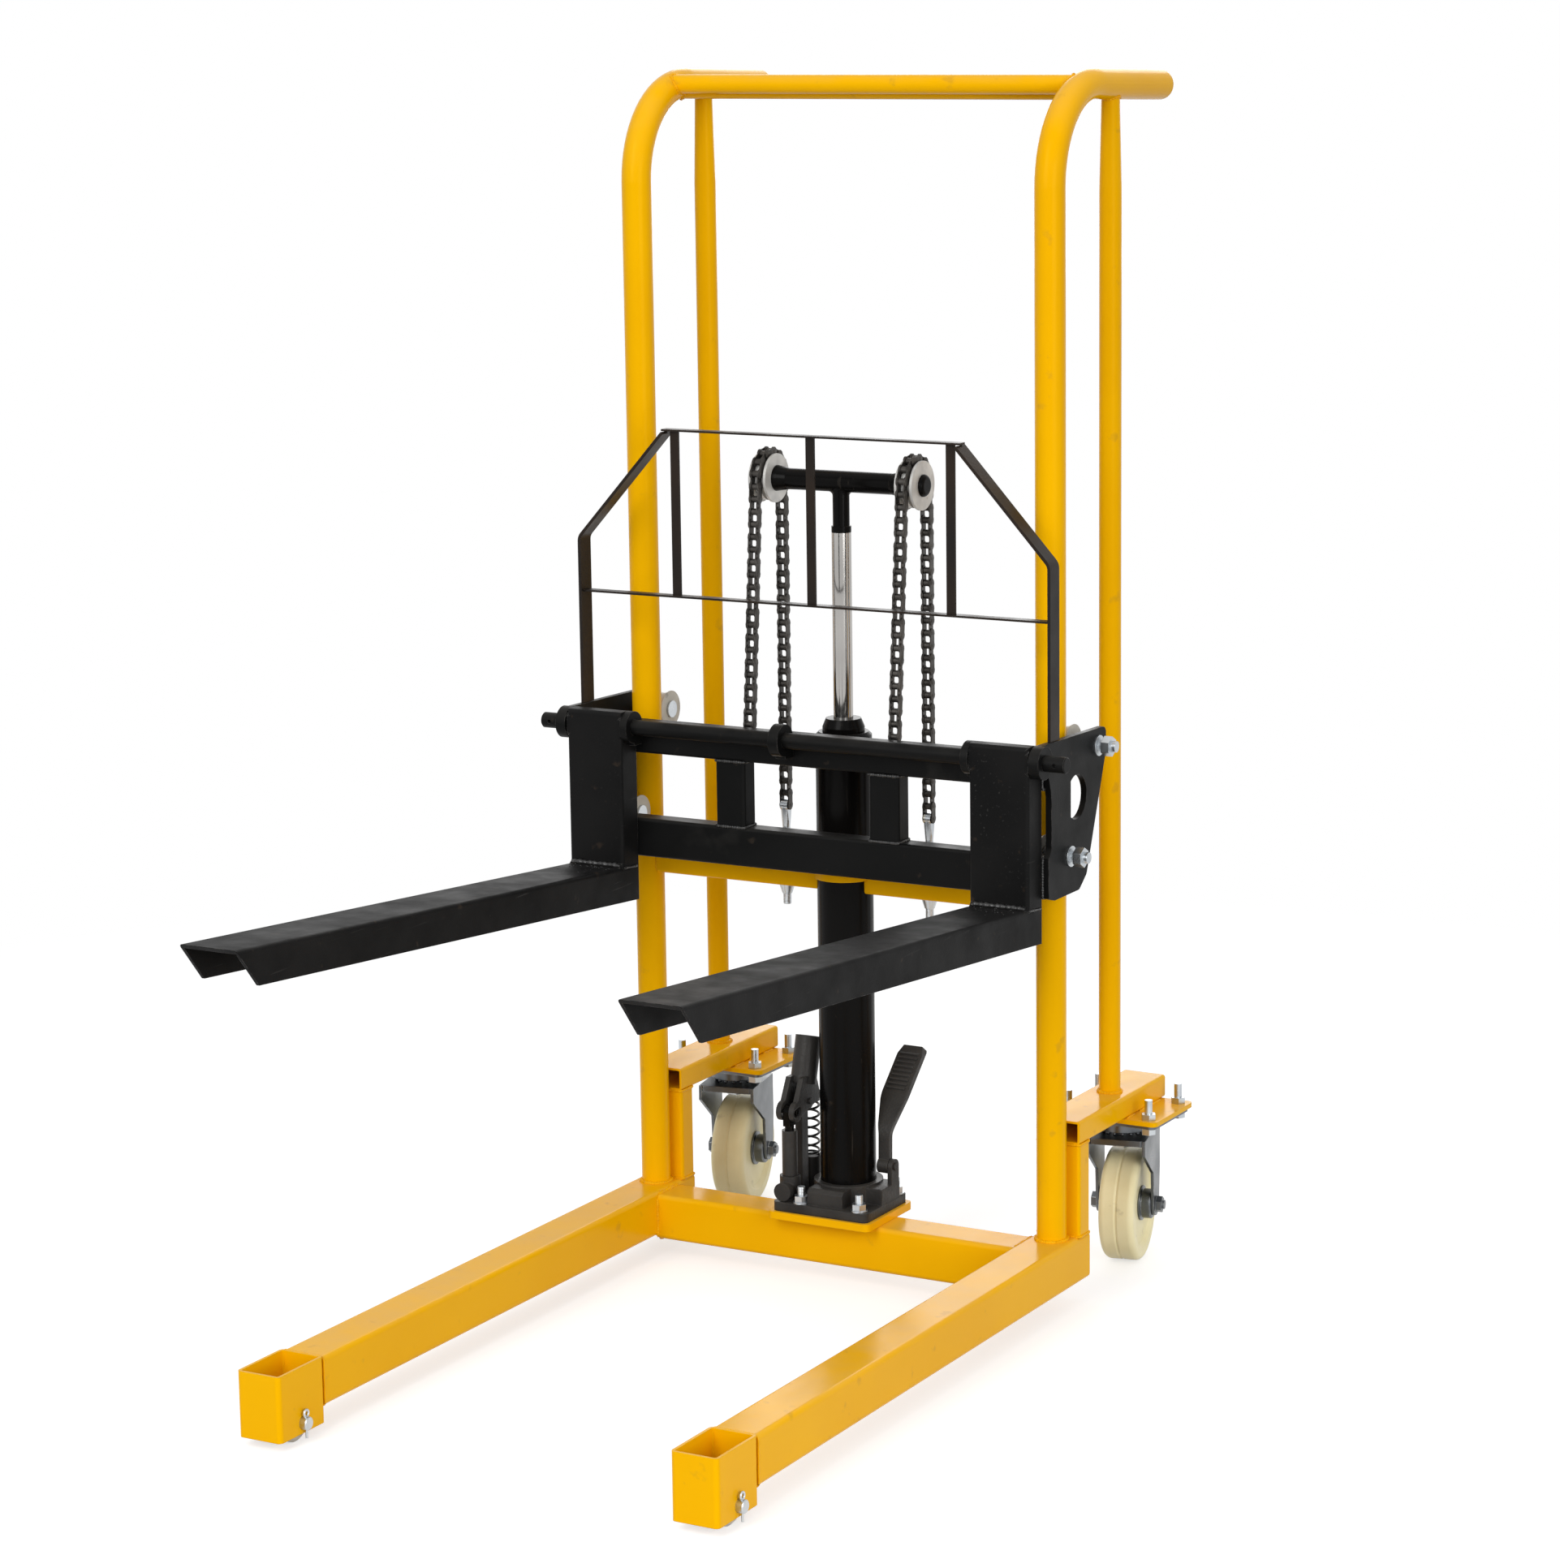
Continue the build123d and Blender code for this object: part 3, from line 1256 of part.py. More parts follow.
pad_length = sqrt(pad_dy ** 2 + pad_dz ** 2)
pad_angle = degrees(atan2(pad_dz, pad_dy))
rib_span = pad_length - 2 * pedal_thick
ribs = None
for k in range(rib_count):
    y = pedal_thick / 2 + rib_span * k / (rib_count - 1)
    for z in (-pedal_thick / 2, pedal_thick / 2):
        rib = rod_x(rib_radius, pedal_pad_left + pedal_thick / 2, pedal_pad_right - pedal_thick / 2, y, z)
        ribs = rib if ribs is None else ribs + rib
pedal += Pos(0, pedal_toe[0], pedal_toe[1]) * Rot(pad_angle, 0, 0) * ribs
pedal -= rod_x(pedal_pin_radius + running_fit, pedal_hub_left, pedal_hub_right, pedal_pin_y, pedal_pin_z)
export("release_pedal", pedal)
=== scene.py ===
import bmesh
import bpy
import numpy as np
from mathutils import Matrix


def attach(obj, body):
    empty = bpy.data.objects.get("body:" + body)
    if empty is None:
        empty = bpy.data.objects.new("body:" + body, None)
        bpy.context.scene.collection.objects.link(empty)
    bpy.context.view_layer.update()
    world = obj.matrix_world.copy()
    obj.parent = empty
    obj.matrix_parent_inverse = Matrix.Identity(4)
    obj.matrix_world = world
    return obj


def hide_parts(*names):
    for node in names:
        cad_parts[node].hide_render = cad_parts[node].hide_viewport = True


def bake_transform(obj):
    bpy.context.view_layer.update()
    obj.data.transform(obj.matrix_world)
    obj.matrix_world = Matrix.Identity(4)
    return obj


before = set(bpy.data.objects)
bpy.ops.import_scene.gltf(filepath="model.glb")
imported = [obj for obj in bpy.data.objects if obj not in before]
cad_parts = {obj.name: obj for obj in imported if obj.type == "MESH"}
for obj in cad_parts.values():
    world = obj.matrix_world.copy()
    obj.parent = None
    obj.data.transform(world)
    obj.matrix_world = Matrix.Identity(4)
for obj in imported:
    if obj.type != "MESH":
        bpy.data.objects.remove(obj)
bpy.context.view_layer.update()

# The pieces are drawn in millimetres from the axis of the lifting cylinder, as in the part's source.
# The loaded frame is in metres and has the middle of the lift's length at Y = 0.
drawing = {"unit": 0.001, "shiftY": 315.5}
sides = {"left": -1, "right": 1}


def toFrame(points):
    return (np.asarray(points, float) + [0, drawing["shiftY"], 0]) * drawing["unit"]


def unit(rows):
    # every row brought to length one
    return rows / np.linalg.norm(rows, axis=-1, keepdims=True)


def fullTurn(count):
    # angles evenly round a circle
    return np.linspace(0, 2 * np.pi, count, endpoint=False)


# Camera and light

def setUp(name, data, axes, spot):
    # axes are the thing's own X, Y and Z as they lie in the frame
    thing = bpy.data.objects.new(name, data)
    place = np.eye(4)
    place[:3, :3] = np.column_stack(axes)
    place[:3, 3] = spot
    thing.matrix_world = Matrix(place.tolist())
    bpy.context.scene.collection.objects.link(thing)
    return thing


# fitted to the photo, with the angles in degrees
camera = {"spot": (2523.63, -4605.83, 1673.11), "yaw": 29.61, "pitch": 10.99, "roll": -0.81,
          "lens": 96.566, "sensor": 36.0, "clip": (0.1, 60.0)}


def standCamera(view):
    yaw, pitch, roll = np.radians([view["yaw"], view["pitch"], view["roll"]])
    ahead = np.array([-np.sin(yaw) * np.cos(pitch), np.cos(yaw) * np.cos(pitch), -np.sin(pitch)])
    right = np.array([np.cos(yaw), np.sin(yaw), 0])
    down = np.cross(ahead, right)
    across = np.cos(roll) * right - np.sin(roll) * down
    below = np.sin(roll) * right + np.cos(roll) * down
    data = bpy.data.cameras.new("photoCamera")
    data.lens, data.sensor_width = view["lens"], view["sensor"]
    data.clip_start, data.clip_end = view["clip"]
    bpy.context.scene.camera = setUp("photoCamera", data, (across, -below, -ahead), toFrame(view["spot"]))


# metres in the loaded frame; each lamp looks from its spot at its aim
lamps = {
    "keyLamp": {"spot": (-0.4, -4.4, 3.1), "aim": (0, 0, 0.7), "wide": 2.2, "tall": 3.2, "power": 118},
    "fillLamp": {"spot": (3.8, -2.0, 1.5), "aim": (0, 0, 0.5), "wide": 2.2, "tall": 2.2, "power": 74},
    "topLamp": {"spot": (0.2, 0.4, 4.2), "aim": (0, 0, 0), "wide": 3.0, "tall": 3.0, "power": 11},
    "backLamp": {"spot": (-1.2, 4.2, 2.2), "aim": (0, 0, 0.8), "wide": 2.6, "tall": 2.6, "power": 40},
}
nearlyUp = (0, 0.01, 1)  # leans a little, so that a lamp straight overhead has a side too


def hangLamp(name, lamp):
    data = bpy.data.lights.new(name, "AREA")
    data.shape = "RECTANGLE"
    data.energy, data.size, data.size_y = lamp["power"], lamp["wide"], lamp["tall"]
    back = unit(np.array(lamp["spot"], float) - lamp["aim"])
    side = unit(np.cross(nearlyUp, back))
    setUp(name, data, (side, np.cross(back, side), back), lamp["spot"])


def setSockets(tree, node, sockets):
    # a socket takes another node's output or a plain value
    for name, value in sockets.items():
        socket = node.inputs[name]
        if isinstance(value, bpy.types.NodeSocket):
            tree.links.new(value, socket)
        else:
            socket.default_value = (*value, 1) if socket.type == "RGBA" else value


def addNode(tree, kind, sockets=None, **settings):
    node = tree.nodes.new(kind)
    for name, value in settings.items():
        setattr(node, name, value)
    setSockets(tree, node, sockets or {})
    return node


def seenWhite(tree):
    # one where the ray comes from the camera, a reflection or glass, else zero
    rays = addNode(tree, "ShaderNodeLightPath").outputs
    seen = rays["Is Camera Ray"]
    for name in ("Is Glossy Ray", "Is Transmission Ray"):
        seen = addNode(tree, "ShaderNodeMath", {0: seen, 1: rays[name]}, operation="MAXIMUM").outputs[0]
    return seen


# reach and fade are metres from the middle of the lift
studio = {"white": (1, 1, 1), "ambient": 0.56, "floorGlow": 0.60, "floorTone": (0.60, 0.60, 0.60),
          "floorReach": 9.0, "fade": (1.1, 2.6)}


def lightStudio(room):
    world = bpy.data.worlds.new("studioWorld")
    world.use_nodes = True
    tree = world.node_tree
    tree.nodes.clear()
    soft = addNode(tree, "ShaderNodeBackground", {"Color": room["white"], "Strength": room["ambient"]})
    plain = addNode(tree, "ShaderNodeBackground", {"Color": room["white"], "Strength": 1})  # 1 is white
    both = addNode(tree, "ShaderNodeMixShader", {0: seenWhite(tree), 1: soft.outputs[0], 2: plain.outputs[0]})
    addNode(tree, "ShaderNodeOutputWorld", {"Surface": both.outputs[0]})
    bpy.context.scene.world = world
    bpy.context.scene.view_settings.view_transform = "Standard"


def floorPaint(room):
    paint = bpy.data.materials.new("paleFloor")
    paint.use_nodes = True
    tree = paint.node_tree
    tree.nodes.clear()
    seen = seenWhite(tree)
    # near the lift a lit floor, which keeps the shadow, with a glow added to it
    matt = addNode(tree, "ShaderNodeBsdfDiffuse", {"Color": room["floorTone"]}).outputs[0]
    raised = addNode(tree, "ShaderNodeMath", {0: seen, 1: room["floorGlow"]}, operation="MULTIPLY").outputs[0]
    glow = addNode(tree, "ShaderNodeEmission", {"Color": room["white"], "Strength": raised}).outputs[0]
    near = addNode(tree, "ShaderNodeAddShader", {0: matt, 1: glow}).outputs[0]
    # away from the lift the floor runs out into the white of the background
    where = addNode(tree, "ShaderNodeTexCoord").outputs["Object"]
    away = addNode(tree, "ShaderNodeVectorMath", {0: where}, operation="LENGTH").outputs["Value"]
    begin, end = room["fade"]
    fade = addNode(tree, "ShaderNodeMapRange", {"Value": away, "From Min": begin, "From Max": end}).outputs[0]
    plain = addNode(tree, "ShaderNodeEmission", {"Color": room["white"], "Strength": seen}).outputs[0]
    whole = addNode(tree, "ShaderNodeMixShader", {0: fade, 1: near, 2: plain}).outputs[0]
    addNode(tree, "ShaderNodeOutputMaterial", {"Surface": whole})
    return paint


def layFloor(room):
    reach = room["floorReach"]
    mesh = bpy.data.meshes.new("studioFloor")
    corners = [(-reach, -reach, 0), (reach, -reach, 0), (reach, reach, 0), (-reach, reach, 0)]
    mesh.from_pydata(corners, [], [(0, 1, 2, 3)])
    mesh.materials.append(floorPaint(room))
    floor = bpy.data.objects.new("studioFloor", mesh)
    bpy.context.scene.collection.objects.link(floor)


standCamera(camera)
lightStudio(studio)
layFloor(studio)
for lampName, lampSizes in lamps.items():
    hangLamp(lampName, lampSizes)
print("camera, lamps and floor placed")


# Finishes

# each mask is a noise that fades in between two of its levels; the scales left out belong to the finish
masks = {
    "drift": {"low": 0.35, "high": 0.68},
    # rub marks where the edge colour shows, which is partly wear and partly a painted edge highlight
    "rubAndGlint": {"scale": 90.0, "low": 0.42, "high": 0.66},
    "line": {"low": 0.63, "high": 0.70, "detail": 3.0},
    "band": {"scale": 9.0, "low": 0.45, "high": 0.62},
    "dust": {"scale": 14.0, "low": 0.36, "high": 0.62},
    "fleck": {"low": 0.66, "high": 0.74, "detail": 5.0},
    "sheen": {"scale": 22.0, "low": 0.3, "high": 0.7},
}


def spots(tree, where, scale, low, high, detail=4.0, stretch=(1, 1, 1)):
    # a noise over Object coordinates, cut to a soft mask between low and high
    place = addNode(tree, "ShaderNodeMapping", {"Vector": where, "Scale": stretch}).outputs[0]
    noise = addNode(tree, "ShaderNodeTexNoise", {"Vector": place, "Scale": scale, "Detail": detail})
    cut = {"Value": noise.outputs["Fac"], "From Min": low, "From Max": high}
    return addNode(tree, "ShaderNodeMapRange", cut).outputs[0]


def times(tree, mask, share):
    both = {0: mask, 1: share}
    return addNode(tree, "ShaderNodeMath", both, operation="MULTIPLY", use_clamp=True).outputs[0]


def over(tree, base, top, mask):
    # the colour base with the colour top laid over it where the mask is one; 6 and 7 are the two colours
    return addNode(tree, "ShaderNodeMix", {0: mask, 6: base, 7: top}, data_type="RGBA").outputs[2]


def makeFinish(name, look):
    # tone and shade drift with a broad noise; wear and a painted edge highlight show on rubbed edges,
    # scratches in bands, dust on faces that look up and grime in flecks
    mat = bpy.data.materials.new(name)
    mat.use_nodes = True
    tree = mat.node_tree
    where = addNode(tree, "ShaderNodeTexCoord").outputs["Object"]
    facing = addNode(tree, "ShaderNodeNewGeometry").outputs["Normal"]
    bevel = addNode(tree, "ShaderNodeBevel", {"Radius": look["edge"]}, samples=look["edgeSamples"])
    rounded = bevel.outputs[0]
    colour = over(tree, look["tone"], look["shade"], spots(tree, where, look["patch"], **masks["drift"]))
    # the lighter edge colour is partly wear and partly a painted highlight, standing for light catching the
    # edges
    if "wearAndGlint" in look:
        close = addNode(tree, "ShaderNodeVectorMath", {0: rounded, 1: facing}, operation="DOT_PRODUCT")
        begin, full = look["turned"]
        edge = {"Value": close.outputs["Value"], "From Min": begin, "From Max": full}
        turned = addNode(tree, "ShaderNodeMapRange", edge).outputs[0]
        rubbedAndGlinting = times(tree, turned, spots(tree, where, **masks["rubAndGlint"]))
        colour = over(tree, colour, look["wearAndGlint"], times(tree, rubbedAndGlinting, look["wearAndGlintShare"]))
    if "scratch" in look:
        lines = spots(tree, where, look["scratchScale"], stretch=look["scratch"], **masks["line"])
        lines = times(tree, lines, spots(tree, where, **masks["band"]))
        colour = over(tree, colour, look["scratchTone"], times(tree, lines, look["scratchShare"]))
    if "dust" in look:
        up = addNode(tree, "ShaderNodeSeparateXYZ", {0: facing}).outputs["Z"]
        lying = times(tree, up, spots(tree, where, **masks["dust"]))
        colour = over(tree, colour, look["dust"], times(tree, lying, look["dustShare"]))
    if "grime" in look:
        fleck = spots(tree, where, look["grimeScale"], **masks["fleck"])
        colour = over(tree, colour, look["grime"], times(tree, fleck, look["grimeShare"]))
    smooth, dull = look["rough"]
    sheen = {"Value": spots(tree, where, **masks["sheen"]), "To Min": smooth, "To Max": dull}
    rough = addNode(tree, "ShaderNodeMapRange", sheen).outputs[0]
    grain = {"Vector": where, "Scale": look["grain"], "Detail": look["grainDetail"]}
    skin = addNode(tree, "ShaderNodeTexNoise", grain).outputs["Fac"]
    relief = {"Height": skin, "Strength": look["bump"], "Distance": look["depth"], "Normal": rounded}
    bump = addNode(tree, "ShaderNodeBump", relief).outputs[0]
    setSockets(tree, tree.nodes["Principled BSDF"], {
        "Base Color": colour, "Metallic": look["metal"], "Roughness": rough, "Normal": bump,
        "Specular IOR Level": look["gloss"], "Specular Tint": look["tint"]})
    return mat


# what a finish has unless it says otherwise: edge and depth are in metres, and turned is the cosine between
# the rounded and the flat face where the edge wear and painted edge highlight begin and where they are full
usualLook = {"metal": 0.0, "gloss": 0.5, "tint": (1, 1, 1), "grainDetail": 2.0, "depth": 0.0006,
             "edge": 0.0012, "edgeSamples": 4, "turned": (0.985, 0.86), "wearAndGlintShare": 0.6, "scratchShare": 0.5,
             "dustShare": 0.35, "grimeShare": 0.35, "grimeScale": 55.0}
finishLooks = {
    "frameYellow": {"tone": (0.92, 0.475, 0.001), "shade": (0.88, 0.44, 0.001), "patch": 5.0,
                    "gloss": 0.09, "tint": (1.0, 0.74, 0.12), "rough": (0.15, 0.23), "grain": 420.0,
                    "bump": 0.10, "wearAndGlint": (0.95, 0.60, 0.06), "wearAndGlintShare": 0.35, "edge": 0.0014,
                    "dust": (0.72, 0.42, 0.10), "dustShare": 0.30,
                    "grime": (0.42, 0.20, 0.03), "grimeShare": 0.28, "grimeScale": 38.0},
    "weldYellow": {"tone": (0.90, 0.45, 0.002), "shade": (0.80, 0.37, 0.001), "patch": 60.0,
                   "gloss": 0.2, "tint": (1.0, 0.80, 0.30), "rough": (0.26, 0.40), "grain": 900.0,
                   "bump": 0.25, "grime": (0.35, 0.16, 0.02), "grimeShare": 0.45, "grimeScale": 120.0,
                   "edge": 0.0006},
    # the pale edge colour here is partly wear and partly a painted highlight along the plate edges
    "carriageBlack": {"tone": (0.0062, 0.0062, 0.0062), "shade": (0.0036, 0.0038, 0.0037), "patch": 7.0,
                      "gloss": 0.07, "rough": (0.34, 0.50), "grain": 520.0, "bump": 0.14,
                      "wearAndGlint": (0.17, 0.16, 0.15), "wearAndGlintShare": 0.65, "scratch": (3, 60, 3),
                      "scratchScale": 5.0, "scratchTone": (0.05, 0.047, 0.043), "scratchShare": 0.16,
                      "dust": (0.035, 0.033, 0.030), "dustShare": 0.5, "grime": (0.045, 0.034, 0.025)},
    # the pale edge colour here is partly wear and partly a painted highlight, a glint along the fork's edges
    "forkBlack": {"tone": (0.0085, 0.0083, 0.0082), "shade": (0.0048, 0.0049, 0.0050), "patch": 9.0,
                  "gloss": 0.06, "rough": (0.40, 0.58), "grain": 460.0, "bump": 0.18,
                  "wearAndGlint": (0.26, 0.25, 0.235), "wearAndGlintShare": 0.8, "scratch": (60, 3, 60), "scratchScale": 4.0,
                  "scratchTone": (0.07, 0.067, 0.064), "scratchShare": 0.3, "dust": (0.016, 0.0156, 0.0153),
                  "dustShare": 0.5, "grime": (0.055, 0.038, 0.026)},
    "weldBlack": {"tone": (0.014, 0.0137, 0.0133), "shade": (0.008, 0.008, 0.008), "patch": 80.0,
                  "rough": (0.20, 0.34), "grain": 900.0, "bump": 0.35, "grime": (0.09, 0.08, 0.072),
                  "grimeShare": 0.6, "grimeScale": 150.0, "edge": 0.0006},
    "cylinderBlack": {"tone": (0.0042, 0.0038, 0.0035), "shade": (0.0026, 0.0025, 0.0025), "patch": 8.0,
                      "gloss": 0.06, "rough": (0.18, 0.28), "grain": 380.0, "bump": 0.08,
                      "wearAndGlint": (0.06, 0.05, 0.04), "scratch": (50, 50, 2.5), "scratchScale": 4.0,
                      "scratchTone": (0.05, 0.043, 0.036), "scratchShare": 0.35,
                      "grime": (0.05, 0.036, 0.024)},
    "castBlack": {"tone": (0.036, 0.034, 0.032), "shade": (0.019, 0.018, 0.017), "patch": 22.0,
                  "gloss": 0.18, "rough": (0.30, 0.50), "grain": 330.0, "grainDetail": 5.0, "bump": 0.5,
                  "depth": 0.0009, "wearAndGlint": (0.06, 0.054, 0.047), "wearAndGlintShare": 0.8, "edge": 0.0022,
                  "dust": (0.06, 0.054, 0.046), "dustShare": 0.55, "grime": (0.05, 0.04, 0.03)},
    "restBrown": {"tone": (0.010, 0.008, 0.0068), "shade": (0.020, 0.0125, 0.008), "patch": 10.0,
                  "gloss": 0.14, "rough": (0.34, 0.48), "grain": 520.0, "bump": 0.15,
                  "wearAndGlint": (0.09, 0.065, 0.045), "wearAndGlintShare": 0.5, "edge": 0.0008},
    "zincPlate": {"tone": (0.58, 0.61, 0.63), "shade": (0.46, 0.49, 0.52), "patch": 30.0, "metal": 1.0,
                  "rough": (0.22, 0.38), "grain": 600.0, "bump": 0.10, "grime": (0.52, 0.44, 0.24),
                  "grimeShare": 0.5, "grimeScale": 40.0, "edge": 0.0007},
    # the bright edge colour here is partly wear and partly a painted highlight on the yoke's edges
    "yokeZinc": {"tone": (0.15, 0.16, 0.17), "shade": (0.10, 0.108, 0.115), "patch": 16.0, "metal": 1.0,
                 "rough": (0.26, 0.42), "grain": 700.0, "bump": 0.12, "wearAndGlint": (0.55, 0.55, 0.53),
                 "wearAndGlintShare": 0.8, "grime": (0.16, 0.14, 0.09), "grimeShare": 0.4, "grimeScale": 30.0,
                 "edge": 0.0016},
    "washerPale": {"tone": (0.70, 0.69, 0.66), "shade": (0.52, 0.51, 0.49), "patch": 45.0, "metal": 0.35,
                   "rough": (0.34, 0.52), "grain": 800.0, "bump": 0.12, "grime": (0.25, 0.23, 0.20),
                   "grimeShare": 0.5, "grimeScale": 70.0, "edge": 0.0007},
    "rodChrome": {"tone": (0.47, 0.455, 0.435), "shade": (0.40, 0.387, 0.37), "patch": 12.0, "metal": 1.0,
                  "rough": (0.09, 0.16), "grain": 900.0, "bump": 0.02, "edge": 0.0006,
                  "scratch": (90, 90, 2), "scratchScale": 4.0, "scratchTone": (0.45, 0.43, 0.40),
                  "scratchShare": 0.3},
    "chainSteel": {"tone": (0.075, 0.069, 0.063), "shade": (0.036, 0.033, 0.030), "patch": 70.0,
                   "metal": 0.75, "gloss": 0.3, "rough": (0.34, 0.52), "grain": 1500.0, "bump": 0.15,
                   "wearAndGlint": (0.16, 0.15, 0.14), "wearAndGlintShare": 0.6, "grime": (0.03, 0.022, 0.016),
                   "grimeShare": 0.6, "grimeScale": 160.0, "edge": 0.0005},
    "wheelNylon": {"tone": (0.96, 0.87, 0.54), "shade": (0.89, 0.79, 0.46), "patch": 20.0, "gloss": 0.34,
                   "rough": (0.34, 0.50), "grain": 700.0, "bump": 0.10, "wearAndGlint": (0.80, 0.72, 0.47),
                   "wearAndGlintShare": 0.4, "grime": (0.36, 0.29, 0.14), "grimeShare": 0.4, "grimeScale": 34.0,
                   "edge": 0.0016},
    "rollerNylon": {"tone": (0.62, 0.58, 0.50), "shade": (0.50, 0.46, 0.39), "patch": 40.0, "gloss": 0.34,
                    "rough": (0.38, 0.55), "grain": 800.0, "bump": 0.12, "grime": (0.20, 0.17, 0.13),
                    "grimeShare": 0.5, "grimeScale": 60.0},
    "springSteel": {"tone": (0.014, 0.013, 0.012), "shade": (0.008, 0.0078, 0.0075), "patch": 80.0,
                    "rough": (0.26, 0.40), "grain": 900.0, "bump": 0.10, "wearAndGlint": (0.06, 0.055, 0.05),
                    "edge": 0.0004},
}
finishes = {name: makeFinish(name, {**usualLook, **look}) for name, look in finishLooks.items()}

nodeFinish = {
    "frameYellow": ("legs", "wheel_boxes", "cross_beam", "pump_plate", "upright_left", "upright_right",
                    "handle_plugs", "handle_bars", "stays", "caster_posts", "caster_arms", "caster_plates",
                    "anchor_bar"),
    "carriageBlack": ("upper_rail", "lower_rail", "rail_posts", "side_plate_left", "side_plate_right",
                      "chain_tabs", "hanger_shaft", "shaft_lugs"),
    "forkBlack": ("fork_left", "fork_right"),
    "cylinderBlack": ("cylinder_tube", "gland_nut", "ram_head", "ram_piston", "pump_plunger"),
    "castBlack": ("pump_base", "pump_barrel", "pump_lever", "release_pedal", "pivot_pins"),
    "restBrown": ("backrest_posts", "backrest_bars"),
    "zincPlate": ("front_axles", "caster_bolts", "guide_bolts", "base_studs", "anchor_studs"),
    "yokeZinc": ("caster_races", "caster_yoke_left", "caster_yoke_right"),
    "washerPale": ("head_washers", "sheave_left", "sheave_right"),
    "rodChrome": ("ram_rod",),
    "chainSteel": ("chain_rear", "chain_front", "chain_wraps"),
    "wheelNylon": ("caster_wheel_left", "caster_wheel_right"),
    "rollerNylon": ("front_roller_left", "front_roller_right", "guide_upper_left", "guide_upper_right",
                    "guide_lower_left", "guide_lower_right"),
    "springSteel": ("pump_spring",),
}
for finishName, nodeNames in nodeFinish.items():
    for nodeName in nodeNames:
        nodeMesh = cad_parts[nodeName].data
        nodeMesh.materials.clear()
        nodeMesh.materials.append(finishes[finishName])
dressed = {nodeName for nodeNames in nodeFinish.values() for nodeName in nodeNames}
print("finishes:", len(finishes), "nodes left plain:", sorted(set(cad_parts) - dressed))


# Surfaces

def tubeFaces(rings, around, closed, first):
    # quads between each ring and the next, and one many-sided face on each open end
    ring, spot = np.meshgrid(np.arange(rings if closed else rings - 1), np.arange(around), indexing="ij")
    nextRing, nextSpot = (ring + 1) % rings, (spot + 1) % around
    quads = np.stack([ring * around + spot, ring * around + nextSpot,
                      nextRing * around + nextSpot, nextRing * around + spot], -1)
    faces = (quads.reshape(-1, 4) + first).tolist()
    if not closed:
        faces.append((np.arange(around)[::-1] + first).tolist())
        faces.append((np.arange(around) + first + (rings - 1) * around).tolist())
    return faces


def joinSurfaces(surfaces):
    # each surface is a grid of points, rings by around, and whether its last ring joins its first
    points, faces, first = [], [], 0
    for grid, closed in surfaces:
        rings, around = grid.shape[:2]
        faces += tubeFaces(rings, around, closed, first)
        points.append(grid.reshape(-1, 3))
        first += rings * around
    return np.vstack(points), faces


def makePiece(name, surfaces, finish, sharp=None):
    points, faces = joinSurfaces(surfaces)
    mesh = bpy.data.meshes.new(name)
    mesh.from_pydata(toFrame(points), [], faces)
    mesh.validate()
    work = bmesh.new()
    work.from_mesh(mesh)
    bmesh.ops.recalc_face_normals(work, faces=work.faces)
    work.to_mesh(mesh)
    work.free()
    mesh.polygons.foreach_set("use_smooth", np.ones(len(mesh.polygons), bool))
    if sharp:
        mesh.set_sharp_from_angle(angle=np.radians(sharp))
    mesh.materials.append(finishes[finish])
    piece = bpy.data.objects.new(name, mesh)
    bpy.context.scene.collection.objects.link(piece)
    print(name, len(mesh.polygons), "faces")
    return piece


def circlesOn(path, side, rise, radius, around):
    # point = path + radius x (cosine x side + sine x rise), all round at every point of the path
    turn = fullTurn(around)[None, :, None]
    reach = np.asarray(radius, float).reshape(-1, 1, 1)
    return path[:, None] + reach * (np.cos(turn) * side[:, None] + np.sin(turn) * rise[:, None])


def spread(path, step, closed, least=8):
    # the same line again, with its points about one step apart
    path = np.asarray(path, float)
    line = np.vstack([path, path[:1]]) if closed else path
    run = np.concatenate([[0], np.cumsum(np.linalg.norm(np.diff(line, axis=0), axis=1))])
    count = max(int(round(run[-1] / step)), least)
    marks = np.linspace(0, run[-1], count + (not closed), endpoint=not closed)
    return np.stack([np.interp(marks, run, line[:, axis]) for axis in range(3)], -1), marks


def carryRound(path, radius, closed, around=10, steep=0.9):
    # circles of the given radius, one at each point of the path and square to it
    if closed:
        along = unit(np.roll(path, -1, 0) - np.roll(path, 1, 0))
    else:
        along = unit(np.gradient(path, axis=0))
    guide = np.where(np.abs(along[:, 2:]) > steep, [[1.0, 0, 0]], [[0, 0, 1.0]])  # X where the path is steep
    if not closed:
        guide = np.repeat(guide[:1], len(path), 0)
    side = unit(np.cross(along, guide))
    return circlesOn(path, side, np.cross(side, along), radius, around)


flatAxes = {"x": (1, 2), "y": (0, 2), "z": (0, 1)}  # the two directions square to each axis


def ringPath(centre, radius, axis, count=48):
    # a circle round X, Y or Z
    first, second = flatAxes[axis]
    turn = fullTurn(count)
    path = np.tile(np.asarray(centre, float), (count, 1))
    path[:, first] += radius * np.cos(turn)
    path[:, second] += radius * np.sin(turn)
    return path


def framePath(centre, halfA, halfB, corner, axis, count=48, start=0.01):
    # a rectangle with round corners, square to X, Y or Z; it starts just past the middle of a side,
    # so that every point belongs to one corner
    first, second = flatAxes[axis]
    turn = fullTurn(count) + start
    path = np.tile(np.asarray(centre, float), (count, 1))
    path[:, first] += np.sign(np.cos(turn)) * (halfA - corner) + corner * np.cos(turn)
    path[:, second] += np.sign(np.sin(turn)) * (halfB - corner) + corner * np.sin(turn)
    return path


# ripple and wander are shares of a bead's radius, and taper is the length of an end in radii;
# each wander has its share, its rate along the bead and its rate in X or Z
beadForm = {"pitch": 3.4, "perRipple": 4, "ripple": 0.16, "wanderX": (0.12, 0.31, 0.05),
            "wanderZ": (0.08, 0.83, 0.11), "taper": 1.6, "tip": 0.02}


